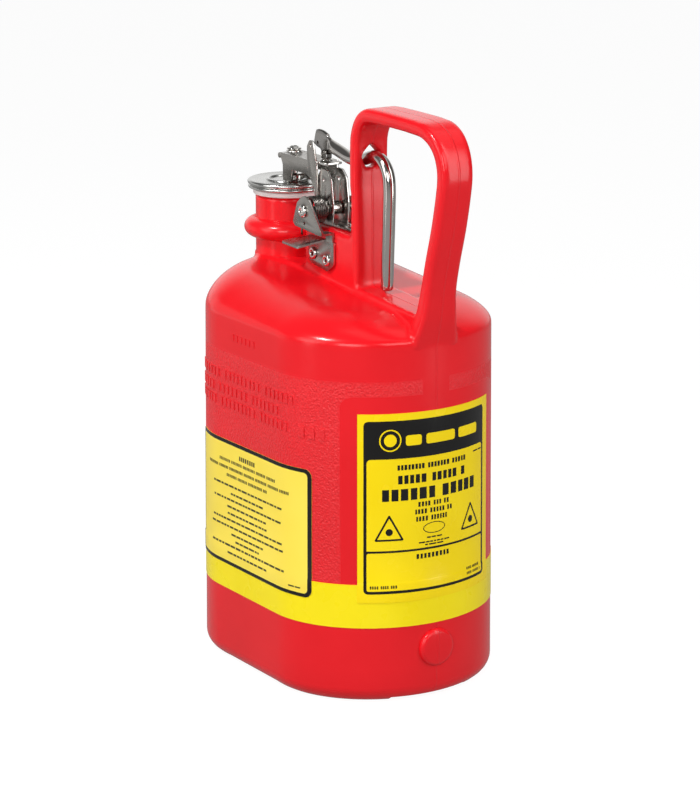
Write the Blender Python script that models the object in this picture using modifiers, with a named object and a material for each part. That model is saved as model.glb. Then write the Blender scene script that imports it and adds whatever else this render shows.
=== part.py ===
"""Oval one-gallon polyethylene safety can with a stainless lid mechanism.

The can stands on its four feet at Z = 0. +X points at the end with the label, the pouring neck is at -X, and the
whole can is symmetric about the plane Y = 0 except for its lid mechanism. All sizes are in metres. Shapes are
described in the body's own frame, whose Z axis is the body's centre line; the empty can_frame carries that frame.
"""

import math

import bmesh
import bpy
from mathutils import Matrix, Vector

GAP = 0.0003
SEAM = 0.0001

# Body: an oval with straight sides and half-elliptic ends, narrowing slightly towards the top.
BODY_CENTRE_X = -0.0095
BODY_FLAT = 0.0322
END_RX = 0.0603
END_RY = 0.0668
TAPER = 0.09
BASE_RADIUS = 0.009
SHOULDER_Z = 0.2030
SHOULDER_RUN = 0.0295
SHOULDER_RISE = 0.0180
SHOULDER_TILT = 0.088
SHOULDER_POWER = 1.18
WALL = 0.0027
FOOT_HEIGHT = 0.0025
FOOT_INNER_X = 0.028
FOOT_INNER_Y = 0.025
END_STEPS = 14
SIDE_STEPS = 3

# Neck, and the block that joins it to the handle.
NECK_X = -0.0626
NECK_R = 0.0190
NECK_BORE_R = 0.0162
NECK_TOP = 0.2608
NECK_RING_Z = 0.2417
NECK_RING_R = 0.0257
NECK_RING_HALF = 0.0057
WEB_X0 = -0.0275
WEB_X1 = 0.0230
WEB_HALF_Y = 0.0112
WEB_TOP = 0.2505
SPINE_TOP = 0.2238
SPINE_TILT = 0.068
SPINE_HALF_Y = 0.0109

# Handle strap: x, z, thickness and half width along its middle line, from the front foot over to the rear foot.
HANDLE_PATH = (
    (0.0236, 0.2050, 0.0070, 0.0113),
    (0.0236, 0.2500, 0.0068, 0.0113),
    (0.0235, 0.2730, 0.0066, 0.0113),
    (0.0227, 0.2790, 0.0072, 0.0113),
    (0.0226, 0.2990, 0.0074, 0.0113),
    (0.0236, 0.3075, 0.0076, 0.0113),
    (0.0275, 0.3148, 0.0080, 0.0113),
    (0.0335, 0.3188, 0.0080, 0.0113),
    (0.0420, 0.3197, 0.0080, 0.0113),
    (0.0640, 0.3196, 0.0079, 0.0113),
    (0.0840, 0.3189, 0.0080, 0.0112),
    (0.0923, 0.3174, 0.0082, 0.0110),
    (0.0996, 0.3130, 0.0084, 0.0106),
    (0.1046, 0.3058, 0.0084, 0.0102),
    (0.1067, 0.2960, 0.0086, 0.0099),
    (0.1052, 0.2840, 0.0088, 0.0098),
    (0.1012, 0.2660, 0.0088, 0.0098),
    (0.0960, 0.2480, 0.0088, 0.0098),
    (0.0922, 0.2320, 0.0088, 0.0100),
    (0.0900, 0.2180, 0.0094, 0.0114),
    (0.0868, 0.2050, 0.0094, 0.0140),
    (0.0835, 0.1900, 0.0080, 0.0150),
)
HANDLE_EDGE = 0.0026
HANDLE_RIDGE = 0.0004

# Round boss low on the label end.
BOSS_Z = 0.0297
BOSS_R = 0.0108
BOSS_PROUD = 0.0026

# Labels: thin sheets on the wall.
SHEET = 0.0003
BAND_Z = (0.0440, 0.0688)
END_LABEL_Z = (0.0585, 0.1652)
END_LABEL_ANGLE = 40.0
SIDE_LABEL_Z = (0.0588, 0.1320)
SIDE_LABEL_ANGLE = 64.0

# Lid hinge: the pin runs along Y.
PIN_X = -0.0142
PIN_Z = 0.2598
PIN_R = 0.0021
STEEL = 0.0012
SHELF_FALL = 0.27
CLEVIS_Y = 0.0051
ARM_Y = 0.0068
PLATE_Y = 0.0122
EAR_Y = 0.0194
SPRING_R = 0.0076
SPRING_WIRE_R = 0.00075
SPRING_TURNS = 4.5
SPRING_Y = (-0.0162, -0.0086)

# Lid and arm.
LID_R = 0.0236
LID_Z = 0.2642
LID_TOP = 0.2693
GASKET_Z = (0.2611, 0.2639)
GASKET_R = 0.0203
ARM_TOP = 0.2856
RIVET_X = -0.0560

# Trigger rod: x, z, half height and half width along its middle line, from the flattened end to the hanging tip.
ROD_R = 0.00355
ROD_PIVOT_X = -0.0212
ROD_PIVOT_Z = 0.2899
ROD_PATH = (
    (-0.0315, 0.2978, 0.0047, 0.0013),
    (-0.0296, 0.2973, 0.0054, 0.0013),
    (-0.0250, 0.2966, 0.0059, 0.0013),
    (-0.0210, 0.2948, 0.0064, 0.0013),
    (-0.0172, 0.2944, 0.0045, 0.0015),
    (-0.0135, 0.2941, 0.0037, 0.0030),
    (-0.0080, 0.2931, ROD_R, ROD_R),
    (0.0030, 0.2908, ROD_R, ROD_R),
    (0.0110, 0.2906, ROD_R, ROD_R),
    (0.0190, 0.2924, ROD_R, ROD_R),
    (0.0260, 0.2946, ROD_R, ROD_R),
    (0.0325, 0.2948, ROD_R, ROD_R),
    (0.0382, 0.2924, ROD_R, ROD_R),
    (0.0422, 0.2872, ROD_R, ROD_R),
    (0.0436, 0.2790, ROD_R, ROD_R),
    (0.0432, 0.2620, ROD_R, ROD_R),
    (0.0422, 0.2400, ROD_R, ROD_R),
    (0.0416, 0.2240, ROD_R, ROD_R),
    (0.0415, 0.2228, 0.0026, 0.0026),
)
ROD_HOLE_Z = (0.2886, 0.3023)
ROD_HOLE_HALF_Y = 0.0064
PLATE_RIVETS = ((-0.0150, 0.2349), (-0.0007, 0.2331))
CLEVIS_RIVET_X = 0.0080


def clear_scene():
    for obj in list(bpy.data.objects):
        bpy.data.objects.remove(obj, do_unlink=True)


def new_collection(name):
    collection = bpy.data.collections.new(name)
    bpy.context.scene.collection.children.link(collection)
    return collection


def new_empty(name, location, parent=None):
    empty = bpy.data.objects.new(name, None)
    empty.empty_display_size = 0.02
    empty.location = location
    empty.parent = parent
    PARTS.objects.link(empty)
    return empty


def new_material(name, colour, roughness, metallic=0.0):
    material = bpy.data.materials.new(name)
    material.diffuse_color = (*colour, 1.0)
    material.use_nodes = True
    shader = material.node_tree.nodes["Principled BSDF"]
    shader.inputs["Base Color"].default_value = (*colour, 1.0)
    shader.inputs["Roughness"].default_value = roughness
    shader.inputs["Metallic"].default_value = metallic
    return material


def body_offset(pivot):
    """The location that leaves a mesh described in the body's frame where it is, under this pivot."""
    if pivot is FRAME:
        return Vector((0.0, 0.0, 0.0))
    if pivot is ROD_PIVOT:
        return Vector((-ROD_PIVOT_X, 0.0, -ROD_PIVOT_Z))
    return Vector((-PIN_X, 0.0, -PIN_Z))


def add_part(name, mesh, material, pivot):
    """A visible piece: one object, one material, hung on the frame or on the pivot that it turns about."""
    obj = bpy.data.objects.new(name, mesh)
    obj.data.materials.append(material)
    obj.parent = pivot
    obj.location = body_offset(pivot)
    mesh.shade_smooth()
    mesh.set_sharp_from_angle(angle=math.radians(35.0))
    PARTS.objects.link(obj)
    return obj


def combine(target, mesh, operation):
    """Joins a helper solid to a piece, or cuts it away, with a Boolean modifier."""
    helper = bpy.data.objects.new(f"{target.name}_{operation.lower()}_{len(target.modifiers)}", mesh)
    helper.parent = target.parent
    helper.location = target.location
    helper.hide_render = True
    helper.display_type = "WIRE"
    CUTTERS.objects.link(helper)
    modifier = target.modifiers.new(helper.name, "BOOLEAN")
    modifier.object = helper
    modifier.operation = operation
    modifier.solver = "EXACT"
    return helper


def join(target, mesh):
    return combine(target, mesh, "UNION")


def cut(target, mesh):
    return combine(target, mesh, "DIFFERENCE")


def mesh_from(bm, name):
    bmesh.ops.recalc_face_normals(bm, faces=bm.faces)
    mesh = bpy.data.meshes.new(name)
    bm.to_mesh(mesh)
    bm.free()
    return mesh


def box_mesh(low, high, edge=0.0, segments=2):
    """A box between two corners, with its edges rounded when edge is given."""
    low, high = Vector(low), Vector(high)
    size = high - low
    place = Matrix.Translation((low + high) / 2) @ Matrix.Diagonal((*size, 1.0))
    bm = bmesh.new()
    bmesh.ops.create_cube(bm, size=1.0, matrix=place)
    if edge:
        bmesh.ops.bevel(bm, geom=bm.edges[:], offset=edge, segments=segments, affect="EDGES", profile=0.5)
    return mesh_from(bm, "box")


def cylinder_mesh(radius, start, end, segments=24, edge=0.0):
    """A cylinder between two points, with its end edges rounded when edge is given."""
    start, end = Vector(start), Vector(end)
    axis = end - start
    turn = axis.to_track_quat("Z", "Y").to_matrix().to_4x4()
    bm = bmesh.new()
    bmesh.ops.create_cone(
        bm, cap_ends=True, segments=segments, radius1=radius, radius2=radius, depth=axis.length,
        matrix=Matrix.Translation((start + end) / 2) @ turn,
    )
    if edge:
        rims = [e for e in bm.edges if any(len(f.verts) > 4 for f in e.link_faces)]
        bmesh.ops.bevel(bm, geom=rims, offset=edge, segments=2, affect="EDGES", profile=0.5)
    return mesh_from(bm, "cylinder")


def along_y(radius, x, z, y0, y1, segments=24, edge=0.0):
    return cylinder_mesh(radius, (x, y0, z), (x, y1, z), segments, edge)


def along_z(radius, x, y, z0, z1, segments=24, edge=0.0):
    return cylinder_mesh(radius, (x, y, z0), (x, y, z1), segments, edge)


def loft_mesh(rings, closed=False):
    """A skin through rings of points with equal counts, capped at both ends unless it closes on itself."""
    bm = bmesh.new()
    rows = [[bm.verts.new(point) for point in ring] for ring in rings]
    pairs = list(zip(rows, rows[1:]))
    if closed:
        pairs.append((rows[-1], rows[0]))
    count = len(rows[0])
    for lower, upper in pairs:
        for i in range(count):
            j = (i + 1) % count
            bm.faces.new((lower[i], lower[j], upper[j], upper[i]))
    if not closed:
        bm.faces.new(list(reversed(rows[0])))
        bm.faces.new(rows[-1])
    return mesh_from(bm, "loft")


def turned_mesh(profile, x, y, segments=48, closed=False):
    """Turns an (r, z) profile about the vertical line through x, y. It runs down its outer side."""
    mesh = bpy.data.meshes.new("profile")
    points = [(x_r, 0.0, z) for x_r, z in profile]
    edges = [(i, i + 1) for i in range(len(points) - 1)]
    if closed:
        edges.append((len(points) - 1, 0))
    mesh.from_pydata(points, edges, [])
    obj = bpy.data.objects.new("profile", mesh)
    bpy.context.scene.collection.objects.link(obj)
    screw = obj.modifiers.new("Turn", "SCREW")
    screw.axis = "Z"
    screw.steps = screw.render_steps = segments
    screw.use_merge_vertices = True
    screw.merge_threshold = 0.00001
    turned = applied_mesh(obj)
    turned.transform(Matrix.Translation((x, y, 0.0)))
    return turned


def turned_along_y(profile, x, z, segments=24, closed=False):
    """Turns an (r, t) profile about a line along Y, with t running towards -Y."""
    mesh = turned_mesh(profile, 0.0, 0.0, segments, closed)
    mesh.transform(Matrix.Translation((x, 0.0, z)) @ Matrix.Rotation(math.pi / 2, 4, "X"))
    return mesh


def applied_mesh(obj):
    """The mesh that an object's modifiers or curve settings make, welded; the object itself is removed."""
    depsgraph = bpy.context.evaluated_depsgraph_get()
    mesh = bpy.data.meshes.new_from_object(obj.evaluated_get(depsgraph))
    mesh.transform(obj.matrix_world)
    bpy.data.objects.remove(obj, do_unlink=True)
    bm = bmesh.new()
    bm.from_mesh(mesh)
    bmesh.ops.remove_doubles(bm, verts=bm.verts, dist=0.00001)
    bmesh.ops.recalc_face_normals(bm, faces=bm.faces)
    bm.to_mesh(mesh)
    bm.free()
    mesh.materials.clear()
    return mesh


def curve_mesh(points, radius, resolution=2):
    """A round wire through the points, with filled ends."""
    curve = bpy.data.curves.new("wire", "CURVE")
    curve.dimensions = "3D"
    curve.bevel_depth = radius
    curve.bevel_resolution = resolution
    curve.use_fill_caps = True
    spline = curve.splines.new("POLY")
    spline.points.add(len(points) - 1)
    for target, point in zip(spline.points, points):
        target.co = (*point, 1.0)
    obj = bpy.data.objects.new("wire", curve)
    bpy.context.scene.collection.objects.link(obj)
    return applied_mesh(obj)


def circle_points(x, y, radius, count=16, start=0.0, sweep=360.0):
    steps = count if sweep == 360.0 else count - 1
    angles = [math.radians(start + sweep * i / steps) for i in range(count)]
    return [(x + radius * math.cos(a), y + radius * math.sin(a)) for a in angles]


def rounded(points, radius, steps=4):
    """A polygon with each corner replaced by an arc; radius is one number, or one for each corner."""
    radii = radius if isinstance(radius, (list, tuple)) else [radius] * len(points)
    outline = []
    for i, corner in enumerate(points):
        here = Vector(corner)
        before = Vector(points[i - 1]) - here
        after = Vector(points[(i + 1) % len(points)]) - here
        angle = before.angle(after)
        reach = min(radii[i] / math.tan(angle / 2), before.length * 0.49, after.length * 0.49)
        if reach < 0.00005:
            outline.append(tuple(here))
            continue
        size = reach * math.tan(angle / 2)
        start = here + before.normalized() * reach
        end = here + after.normalized() * reach
        centre = here + (before.normalized() + after.normalized()).normalized() * (size / math.sin(angle / 2))
        first, last = start - centre, end - centre
        for k in range(steps + 1):
            spoke = first.slerp(last, k / steps, first).normalized() * first.length
            outline.append(tuple(centre + spoke))
    return outline


def plate_mesh(loops, thickness, plane, level):
    """A flat plate from an outline and its holes: in the XZ plane about y = level, or in XY about z = level."""
    curve = bpy.data.curves.new("plate", "CURVE")
    curve.dimensions = "2D"
    curve.fill_mode = "BOTH"
    curve.extrude = thickness / 2
    for loop in loops:
        spline = curve.splines.new("POLY")
        spline.points.add(len(loop) - 1)
        for target, (a, b) in zip(spline.points, loop):
            target.co = (a, b, 0.0, 1.0)
        spline.use_cyclic_u = True
    obj = bpy.data.objects.new("plate", curve)
    if plane == "XZ":
        obj.matrix_world = Matrix.Translation((0.0, level, 0.0)) @ Matrix.Rotation(math.pi / 2, 4, "X")
    elif plane == "YZ":
        turn = Matrix(((0, 0, 1, 0), (1, 0, 0, 0), (0, 1, 0, 0), (0, 0, 0, 1)))
        obj.matrix_world = Matrix.Translation((level, 0.0, 0.0)) @ turn
    else:
        obj.matrix_world = Matrix.Translation((0.0, 0.0, level))
    bpy.context.scene.collection.objects.link(obj)
    bpy.context.view_layer.update()
    return applied_mesh(obj)


def smooth_path(stations, steps):
    """Catmull-Rom points through stations of any number of values, steps to each stretch."""
    last = len(stations) - 1
    path = []
    for i in range(last):
        p0, p1 = stations[max(i - 1, 0)], stations[i]
        p2, p3 = stations[i + 1], stations[min(i + 2, last)]
        for k in range(steps):
            t = k / steps
            weights = (
                (-t + 2 * t * t - t ** 3) / 2,
                (2 - 5 * t * t + 3 * t ** 3) / 2,
                (t + 4 * t * t - 3 * t ** 3) / 2,
                (-t * t + t ** 3) / 2,
            )
            path.append(tuple(sum(w * v for w, v in zip(weights, vals)) for vals in zip(p0, p1, p2, p3)))
    path.append(tuple(stations[last]))
    return path


def wall_point(flat_x, degrees, outset, z):
    """A point on the oval wall: an end arc's angle about the straight side's end, moved outwards by outset."""
    shrink = 1.0 - TAPER * z
    angle = math.radians(degrees)
    x = flat_x + (END_RX + outset) * math.cos(angle)
    y = (END_RY + outset) * math.sin(angle)
    return (x * shrink, y * shrink, z)


def oval_stations(end_steps=END_STEPS, side_steps=SIDE_STEPS):
    stations = [(BODY_FLAT, -90 + 180 * i / end_steps) for i in range(end_steps)]
    stations += [(BODY_FLAT * (1 - 2 * i / side_steps), 90) for i in range(side_steps)]
    stations += [(-BODY_FLAT, 90 + 180 * i / end_steps) for i in range(end_steps)]
    stations += [(-BODY_FLAT * (1 - 2 * i / side_steps), 270) for i in range(side_steps)]
    return stations


def oval_ring(outset, z):
    return [wall_point(x, a, outset, z) for x, a in oval_stations()]


def shoulder_rings(inset, drop, steps):
    """Rings up the shoulder, higher at the neck end, moved inwards and down for the cavity."""
    rings = []
    for i in range(steps + 1):
        angle = math.radians(90 * i / steps)
        run = SHOULDER_RUN * (1 - max(math.cos(angle), 0.0) ** SHOULDER_POWER)
        lift = math.sin(angle) ** SHOULDER_POWER
        ring = oval_ring(-run - inset, SHOULDER_Z - drop + SHOULDER_RISE * lift)
        rings.append([(x, y, z - SHOULDER_TILT * x * lift) for x, y, z in ring])
    return rings


def outer_body_mesh():
    rows = []
    for i in range(5):
        angle = math.radians(90 * i / 4)
        rows.append((-BASE_RADIUS * (1 - math.sin(angle)), BASE_RADIUS * (1 - math.cos(angle))))
    return loft_mesh([oval_ring(outset, z) for outset, z in rows] + shoulder_rings(0.0, 0.0, 9))


def cavity_mesh():
    floor = FOOT_HEIGHT + WALL
    rows = [(-WALL - BASE_RADIUS * 0.7, floor), (-WALL - BASE_RADIUS * 0.2, floor + BASE_RADIUS * 0.3)]
    rows.append((-WALL, floor + BASE_RADIUS))
    return loft_mesh([oval_ring(outset, z) for outset, z in rows] + shoulder_rings(WALL, WALL, 6))


def spine_mesh():
    """The raised rib along the top, from the neck to the handle's rear leg, falling as the top does."""
    low, high = 0.205, SPINE_TOP
    start, end = NECK_X, 0.0880
    outline = [(start, low), (end, low), (end, high - SPINE_TILT * end), (start, high - SPINE_TILT * start)]
    return plate_mesh([outline], 2 * SPINE_HALF_Y, "XZ", 0.0)


def neck_mesh():
    """The neck's outside: a foot that flares into the shoulder, a straight tube and a round swell."""
    profile = [(0.0, NECK_TOP), (NECK_R - 0.0006, NECK_TOP), (NECK_R, NECK_TOP - 0.0006)]
    for i in range(9):
        angle = math.radians(90 - 180 * i / 8)
        r = NECK_R + (NECK_RING_R - NECK_R) * math.cos(angle)
        profile.append((r, NECK_RING_Z + NECK_RING_HALF * math.sin(angle)))
    profile += [(NECK_R, 0.2262), (NECK_R + 0.0009, 0.2226), (NECK_R + 0.0034, 0.2196)]
    profile += [(NECK_R + 0.0034, 0.2100), (0.0, 0.2100)]
    return turned_mesh(profile, NECK_X, 0.0, 40)


def handle_mesh():
    rings = []
    path = smooth_path(HANDLE_PATH, 2)
    for i, (x, z, thickness, half_width) in enumerate(path):
        x0, z0 = path[max(i - 1, 0)][:2]
        x1, z1 = path[min(i + 1, len(path) - 1)][:2]
        tangent = Vector((x1 - x0, z1 - z0)).normalized()
        outward = Vector((-tangent.y, tangent.x))
        h = thickness / 2
        section = rounded([(h, -half_width), (h, half_width), (-h, half_width), (-h, -half_width)], HANDLE_EDGE, 3)
        section.insert(4, (h + HANDLE_RIDGE, 0.0))
        rings.append([(x + outward.x * u, v, z + outward.y * u) for u, v in section])
    return loft_mesh(rings)


def rod_hole_mesh():
    low, high = ROD_HOLE_Z
    widest = low + 0.0072
    outline = [(0.0, high), (-ROD_HOLE_HALF_Y, widest), (-0.0034, low), (0.0034, low), (ROD_HOLE_HALF_Y, widest)]
    return plate_mesh([rounded(outline, [0.0015, 0.002, 0.003, 0.003, 0.002], 3)], 0.012, "YZ", 0.0225)


def make_body(plastic):
    body = add_part("can_body", outer_body_mesh(), plastic, FRAME)
    cut(body, box_mesh((-0.12, -FOOT_INNER_Y, -0.01), (0.12, FOOT_INNER_Y, FOOT_HEIGHT)))
    cut(body, box_mesh((-FOOT_INNER_X, -0.09, -0.01), (FOOT_INNER_X, 0.09, FOOT_HEIGHT)))
    join(body, spine_mesh())
    web = join(body, box_mesh((WEB_X0, -WEB_HALF_Y, 0.207), (WEB_X1, WEB_HALF_Y, WEB_TOP), 0.0024))
    for x, z in PLATE_RIVETS:
        cut(web, along_y(0.0025, x, z, -0.02, 0.02, 16))
    cut(web, along_z(0.0019, CLEVIS_RIVET_X, 0.0, 0.2425, 0.26, 12))
    join(body, neck_mesh())
    handle = join(body, handle_mesh())
    cut(handle, rod_hole_mesh())
    shrink = 1.0 - TAPER * BOSS_Z
    boss_face = (BODY_FLAT + END_RX) * shrink + BOSS_PROUD
    join(body, cylinder_mesh(BOSS_R, (0.080, 0, BOSS_Z), (boss_face, 0, BOSS_Z), 28, 0.0012))
    cut(body, cavity_mesh())
    cut(body, along_z(NECK_BORE_R, NECK_X, 0.0, 0.200, NECK_TOP + 0.002, 40))


def sheet_mesh(stations, rows, closed=False):
    """A sheet that hugs the wall: rows are (height, outset of its inner face), SHEET thick."""
    if closed:
        inner = [[wall_point(x, a, lift, z) for x, a in stations] for z, lift in rows]
        outer = [[wall_point(x, a, lift + SHEET, z) for x, a in stations] for z, lift in rows]
        return loft_mesh(inner + outer[::-1], closed=True)
    rings = []
    for x, a in stations:
        inner = [wall_point(x, a, lift, z) for z, lift in rows]
        outer = [wall_point(x, a, lift + SHEET, z) for z, lift in rows]
        rings.append(inner + outer[::-1])
    return loft_mesh(rings)


def label_rows(low, high):
    """A label that laps over the band below and lies on the wall above it."""
    over, on = 2 * GAP + SHEET, GAP
    top = BAND_Z[1]
    return [(low, over), (top + 0.0004, over), (top + 0.0012, on), ((top + high) / 2, on), (high, on)]


def make_labels(yellow, pale):
    add_part("reflective_band", sheet_mesh(oval_stations(), [(z, GAP) for z in BAND_Z], closed=True), yellow, FRAME)
    steps = 12
    end = [(BODY_FLAT, END_LABEL_ANGLE * (2 * i / steps - 1)) for i in range(steps + 1)]
    add_part("end_label", sheet_mesh(end, label_rows(*END_LABEL_Z)), yellow, FRAME)
    for name, side in (("side_label_near", -1), ("side_label_far", 1)):
        curved = [SIDE_LABEL_ANGLE + (90 - SIDE_LABEL_ANGLE) * i / 3 for i in range(4)]
        right = [(BODY_FLAT, side * a) for a in curved]
        left = [(-BODY_FLAT, side * (180 - a)) for a in reversed(curved)]
        add_part(name, sheet_mesh(right + left, label_rows(*SIDE_LABEL_Z)), pale, FRAME)


def make_arrester(steel, brass):
    """The flame arrester: a cup of fine mesh, here a closed sheet, that hangs in the neck on a collar in the bore."""
    collar = [(NECK_BORE_R - GAP, 0.2560), (NECK_BORE_R - GAP, 0.2500), (0.0147, 0.2500), (0.0147, 0.2560)]
    add_part("arrester_collar", turned_mesh(collar, NECK_X, 0.0, 32, closed=True), brass, FRAME)
    flange, outer, inner, low = NECK_BORE_R - GAP, 0.0143, 0.0135, 0.1700
    cup = [(0.0, low + 0.0008), (inner, low + 0.0008), (inner, 0.2571), (flange, 0.2571), (flange, 0.2563)]
    cup += [(outer, 0.2563), (outer, low), (0.0, low)]
    add_part("flame_arrester", turned_mesh(cup, NECK_X, 0.0, 32), steel, FRAME)


def make_hinge_plates(steel):
    """The riveted plates on both faces of the block. The near one carries a shelf and the spring's outer ear."""
    rivet_holes = [circle_points(x, z, 0.0025) for x, z in PLATE_RIVETS]
    pin_hole = circle_points(PIN_X, PIN_Z, PIN_R + GAP)
    foot = [(-0.0193, 0.2442), (-0.0190, 0.2292), (-0.0002, 0.2268), (0.0064, 0.2312), (0.0064, 0.2442)]
    near_loop = rounded(foot, [0.0, 0.003, 0.003, 0.003, 0.0])
    near = add_part("hinge_plate_near", plate_mesh([near_loop] + rivet_holes, STEEL, "XZ", -PLATE_Y), steel, FRAME)
    root = -PLATE_Y + STEEL / 2
    outline = rounded([(-0.0193, root), (-0.0292, -0.0255), (-0.0098, -0.0265), (-0.0030, root)], [0, 0.001, 0.001, 0])
    shelf = plate_mesh([outline], STEEL, "XY", 0.2442)
    for vertex in shelf.vertices:
        vertex.co.z += SHELF_FALL * (vertex.co.y - root)
    join(near, shelf)
    join(near, box_mesh((-0.0018, -PLATE_Y - STEEL / 2, 0.2430), (0.0052, -PLATE_Y + STEEL / 2, 0.2496)))
    join(near, box_mesh((-0.0018, -EAR_Y - STEEL / 2, 0.2484), (0.0052, -PLATE_Y + STEEL / 2, 0.2496)))
    ear = [(-0.0139, 0.2690), (-0.0205, 0.2640), (-0.0252, 0.2520), (-0.0225, 0.2502), (0.0052, 0.2484)]
    ear += [(0.0052, 0.2506), (-0.0078, 0.2668)]
    ear_loop = rounded(ear, [0.004, 0.003, 0.001, 0.001, 0, 0.001, 0.004])
    small_hole = circle_points(-0.0129, 0.2530, 0.0010, 8)
    join(near, plate_mesh([ear_loop, pin_hole, small_hole], STEEL, "XZ", -EAR_Y))
    far_foot = [(-0.0193, 0.2560), (-0.0190, 0.2292), (-0.0002, 0.2268), (0.0064, 0.2312), (0.0064, 0.2480)]
    far_foot += [(-0.0085, 0.2655), (-0.0190, 0.2655)]
    far_loop = rounded(far_foot, [0, 0.003, 0.003, 0.003, 0.002, 0.005, 0.005])
    loops = [far_loop, pin_hole] + rivet_holes
    add_part("hinge_plate_far", plate_mesh(loops, STEEL, "XZ", PLATE_Y), steel, FRAME)


def make_plate_rivets(steel):
    """Two tubular rivets right through the block, with a rolled head on each plate."""
    seat = PLATE_Y + STEEL / 2 + GAP
    half = [(0.0013, seat + 0.0008), (0.0031, seat + 0.0008), (0.0035, seat + 0.0005), (0.0035, seat), (0.0022, seat)]
    profile = half + [(r, -t) for r, t in reversed(half)]
    for name, (x, z) in zip(("plate_rivet_front", "plate_rivet_rear"), PLATE_RIVETS):
        add_part(name, turned_along_y(profile, x, z, 20, closed=True), steel, FRAME)


def make_clevis(steel):
    """The U bracket on top of the block, which carries the middle of the hinge pin."""
    base_z = WEB_TOP + GAP
    side = [(-0.0215, base_z), (-0.0060, base_z), (-0.0056, 0.2640), (-0.0076, 0.2775), (-0.0120, 0.2820)]
    side += [(-0.0180, 0.2820), (-0.0215, 0.2770)]
    loop = rounded(side, [0, 0.003, 0.003, 0.004, 0.004, 0.004, 0.003])
    holes = [circle_points(PIN_X, PIN_Z, PIN_R + GAP), circle_points(-0.0150, 0.2757, 0.0012, 10)]
    clevis = add_part("hinge_clevis", plate_mesh([loop] + holes, STEEL, "XZ", -CLEVIS_Y), steel, FRAME)
    join(clevis, plate_mesh([loop] + holes, STEEL, "XZ", CLEVIS_Y))
    half = CLEVIS_Y + STEEL / 2
    base = rounded([(-0.0215, -half), (0.0170, -half), (0.0170, half), (-0.0215, half)], [0, 0.003, 0.003, 0])
    hole = circle_points(CLEVIS_RIVET_X, 0.0, 0.0019, 12)
    join(clevis, plate_mesh([base, hole], STEEL, "XY", base_z + STEEL / 2))
    rivet = add_part("clevis_rivet", along_z(0.0016, CLEVIS_RIVET_X, 0, 0.2430, 0.2535, 12), steel, FRAME)
    head_z = base_z + STEEL + GAP
    join(rivet, along_z(0.0032, CLEVIS_RIVET_X, 0, head_z, head_z + 0.0015, 16, 0.0006))


def make_pin(steel, bright):
    """The hinge pin, with a dished head outside the spring's ear and a flat one outside the far plate."""
    near = EAR_Y + STEEL / 2 + GAP
    far = -(PLATE_Y + STEEL / 2 + GAP)
    profile = [(0.0, near + 0.0003), (0.0014, near + 0.0003), (0.0016, near + 0.0013), (0.0030, near + 0.0013)]
    profile += [(0.0037, near + 0.0007), (0.0037, near), (PIN_R, near), (PIN_R, far), (0.0034, far)]
    profile += [(0.0034, far - 0.0008), (0.0029, far - 0.0013), (0.0, far - 0.0013)]
    add_part("hinge_pin", turned_along_y(profile, PIN_X, PIN_Z), steel, FRAME)
    bore, rim, half = PIN_R + GAP, 0.0040, 0.0040
    sleeve = [(bore, half), (rim - 0.0005, half), (rim, half - 0.0005), (rim, 0.0005 - half)]
    sleeve += [(rim - 0.0005, -half), (bore, -half)]
    add_part("pin_collar", turned_along_y(sleeve, PIN_X, PIN_Z, closed=True), bright, FRAME)


def make_spring(steel):
    """A torsion spring about the pin: one leg stands on the shelf, the other ends beside the arm."""
    steps = 14
    turns = int(SPRING_TURNS * steps)
    coil = []
    for i in range(turns + 1):
        angle = math.pi + 2 * math.pi * i / steps
        y = SPRING_Y[0] + (SPRING_Y[1] - SPRING_Y[0]) * i / turns
        coil.append((PIN_X + SPRING_R * math.cos(angle), y, PIN_Z + SPRING_R * math.sin(angle)))
    shelf_leg = [(PIN_X - SPRING_R, SPRING_Y[0], 0.2449), (PIN_X - SPRING_R, SPRING_Y[0], 0.2540)]
    x, y, z = coil[-1]
    arm_leg = [(x, y, z + 0.0050)]
    add_part("torsion_spring", curve_mesh(shelf_leg + coil + arm_leg, SPRING_WIRE_R, 1), steel, FRAME)


def arm_flange_outline(ear=()):
    """A flange of the arm: the tab that presses on the lid, the top edge with its ear, and the lobe about the pin."""
    lobe = circle_points(PIN_X, PIN_Z, 0.0056, 12, 105.0, -285.0)
    sweep = [(-0.0228, 0.2685), (-0.0243, 0.2725), (-0.0275, 0.2757), (-0.0315, 0.2772), (-0.0470, 0.2772)]
    tab = [(-0.0474, 0.2699), (-0.0564, 0.2699), (-0.0567, 0.2790), (-0.0595, ARM_TOP - STEEL), (-0.0595, ARM_TOP)]
    return tab + list(ear) + [(-0.0202, ARM_TOP), (-0.0202, 0.2672)] + lobe + sweep


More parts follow.
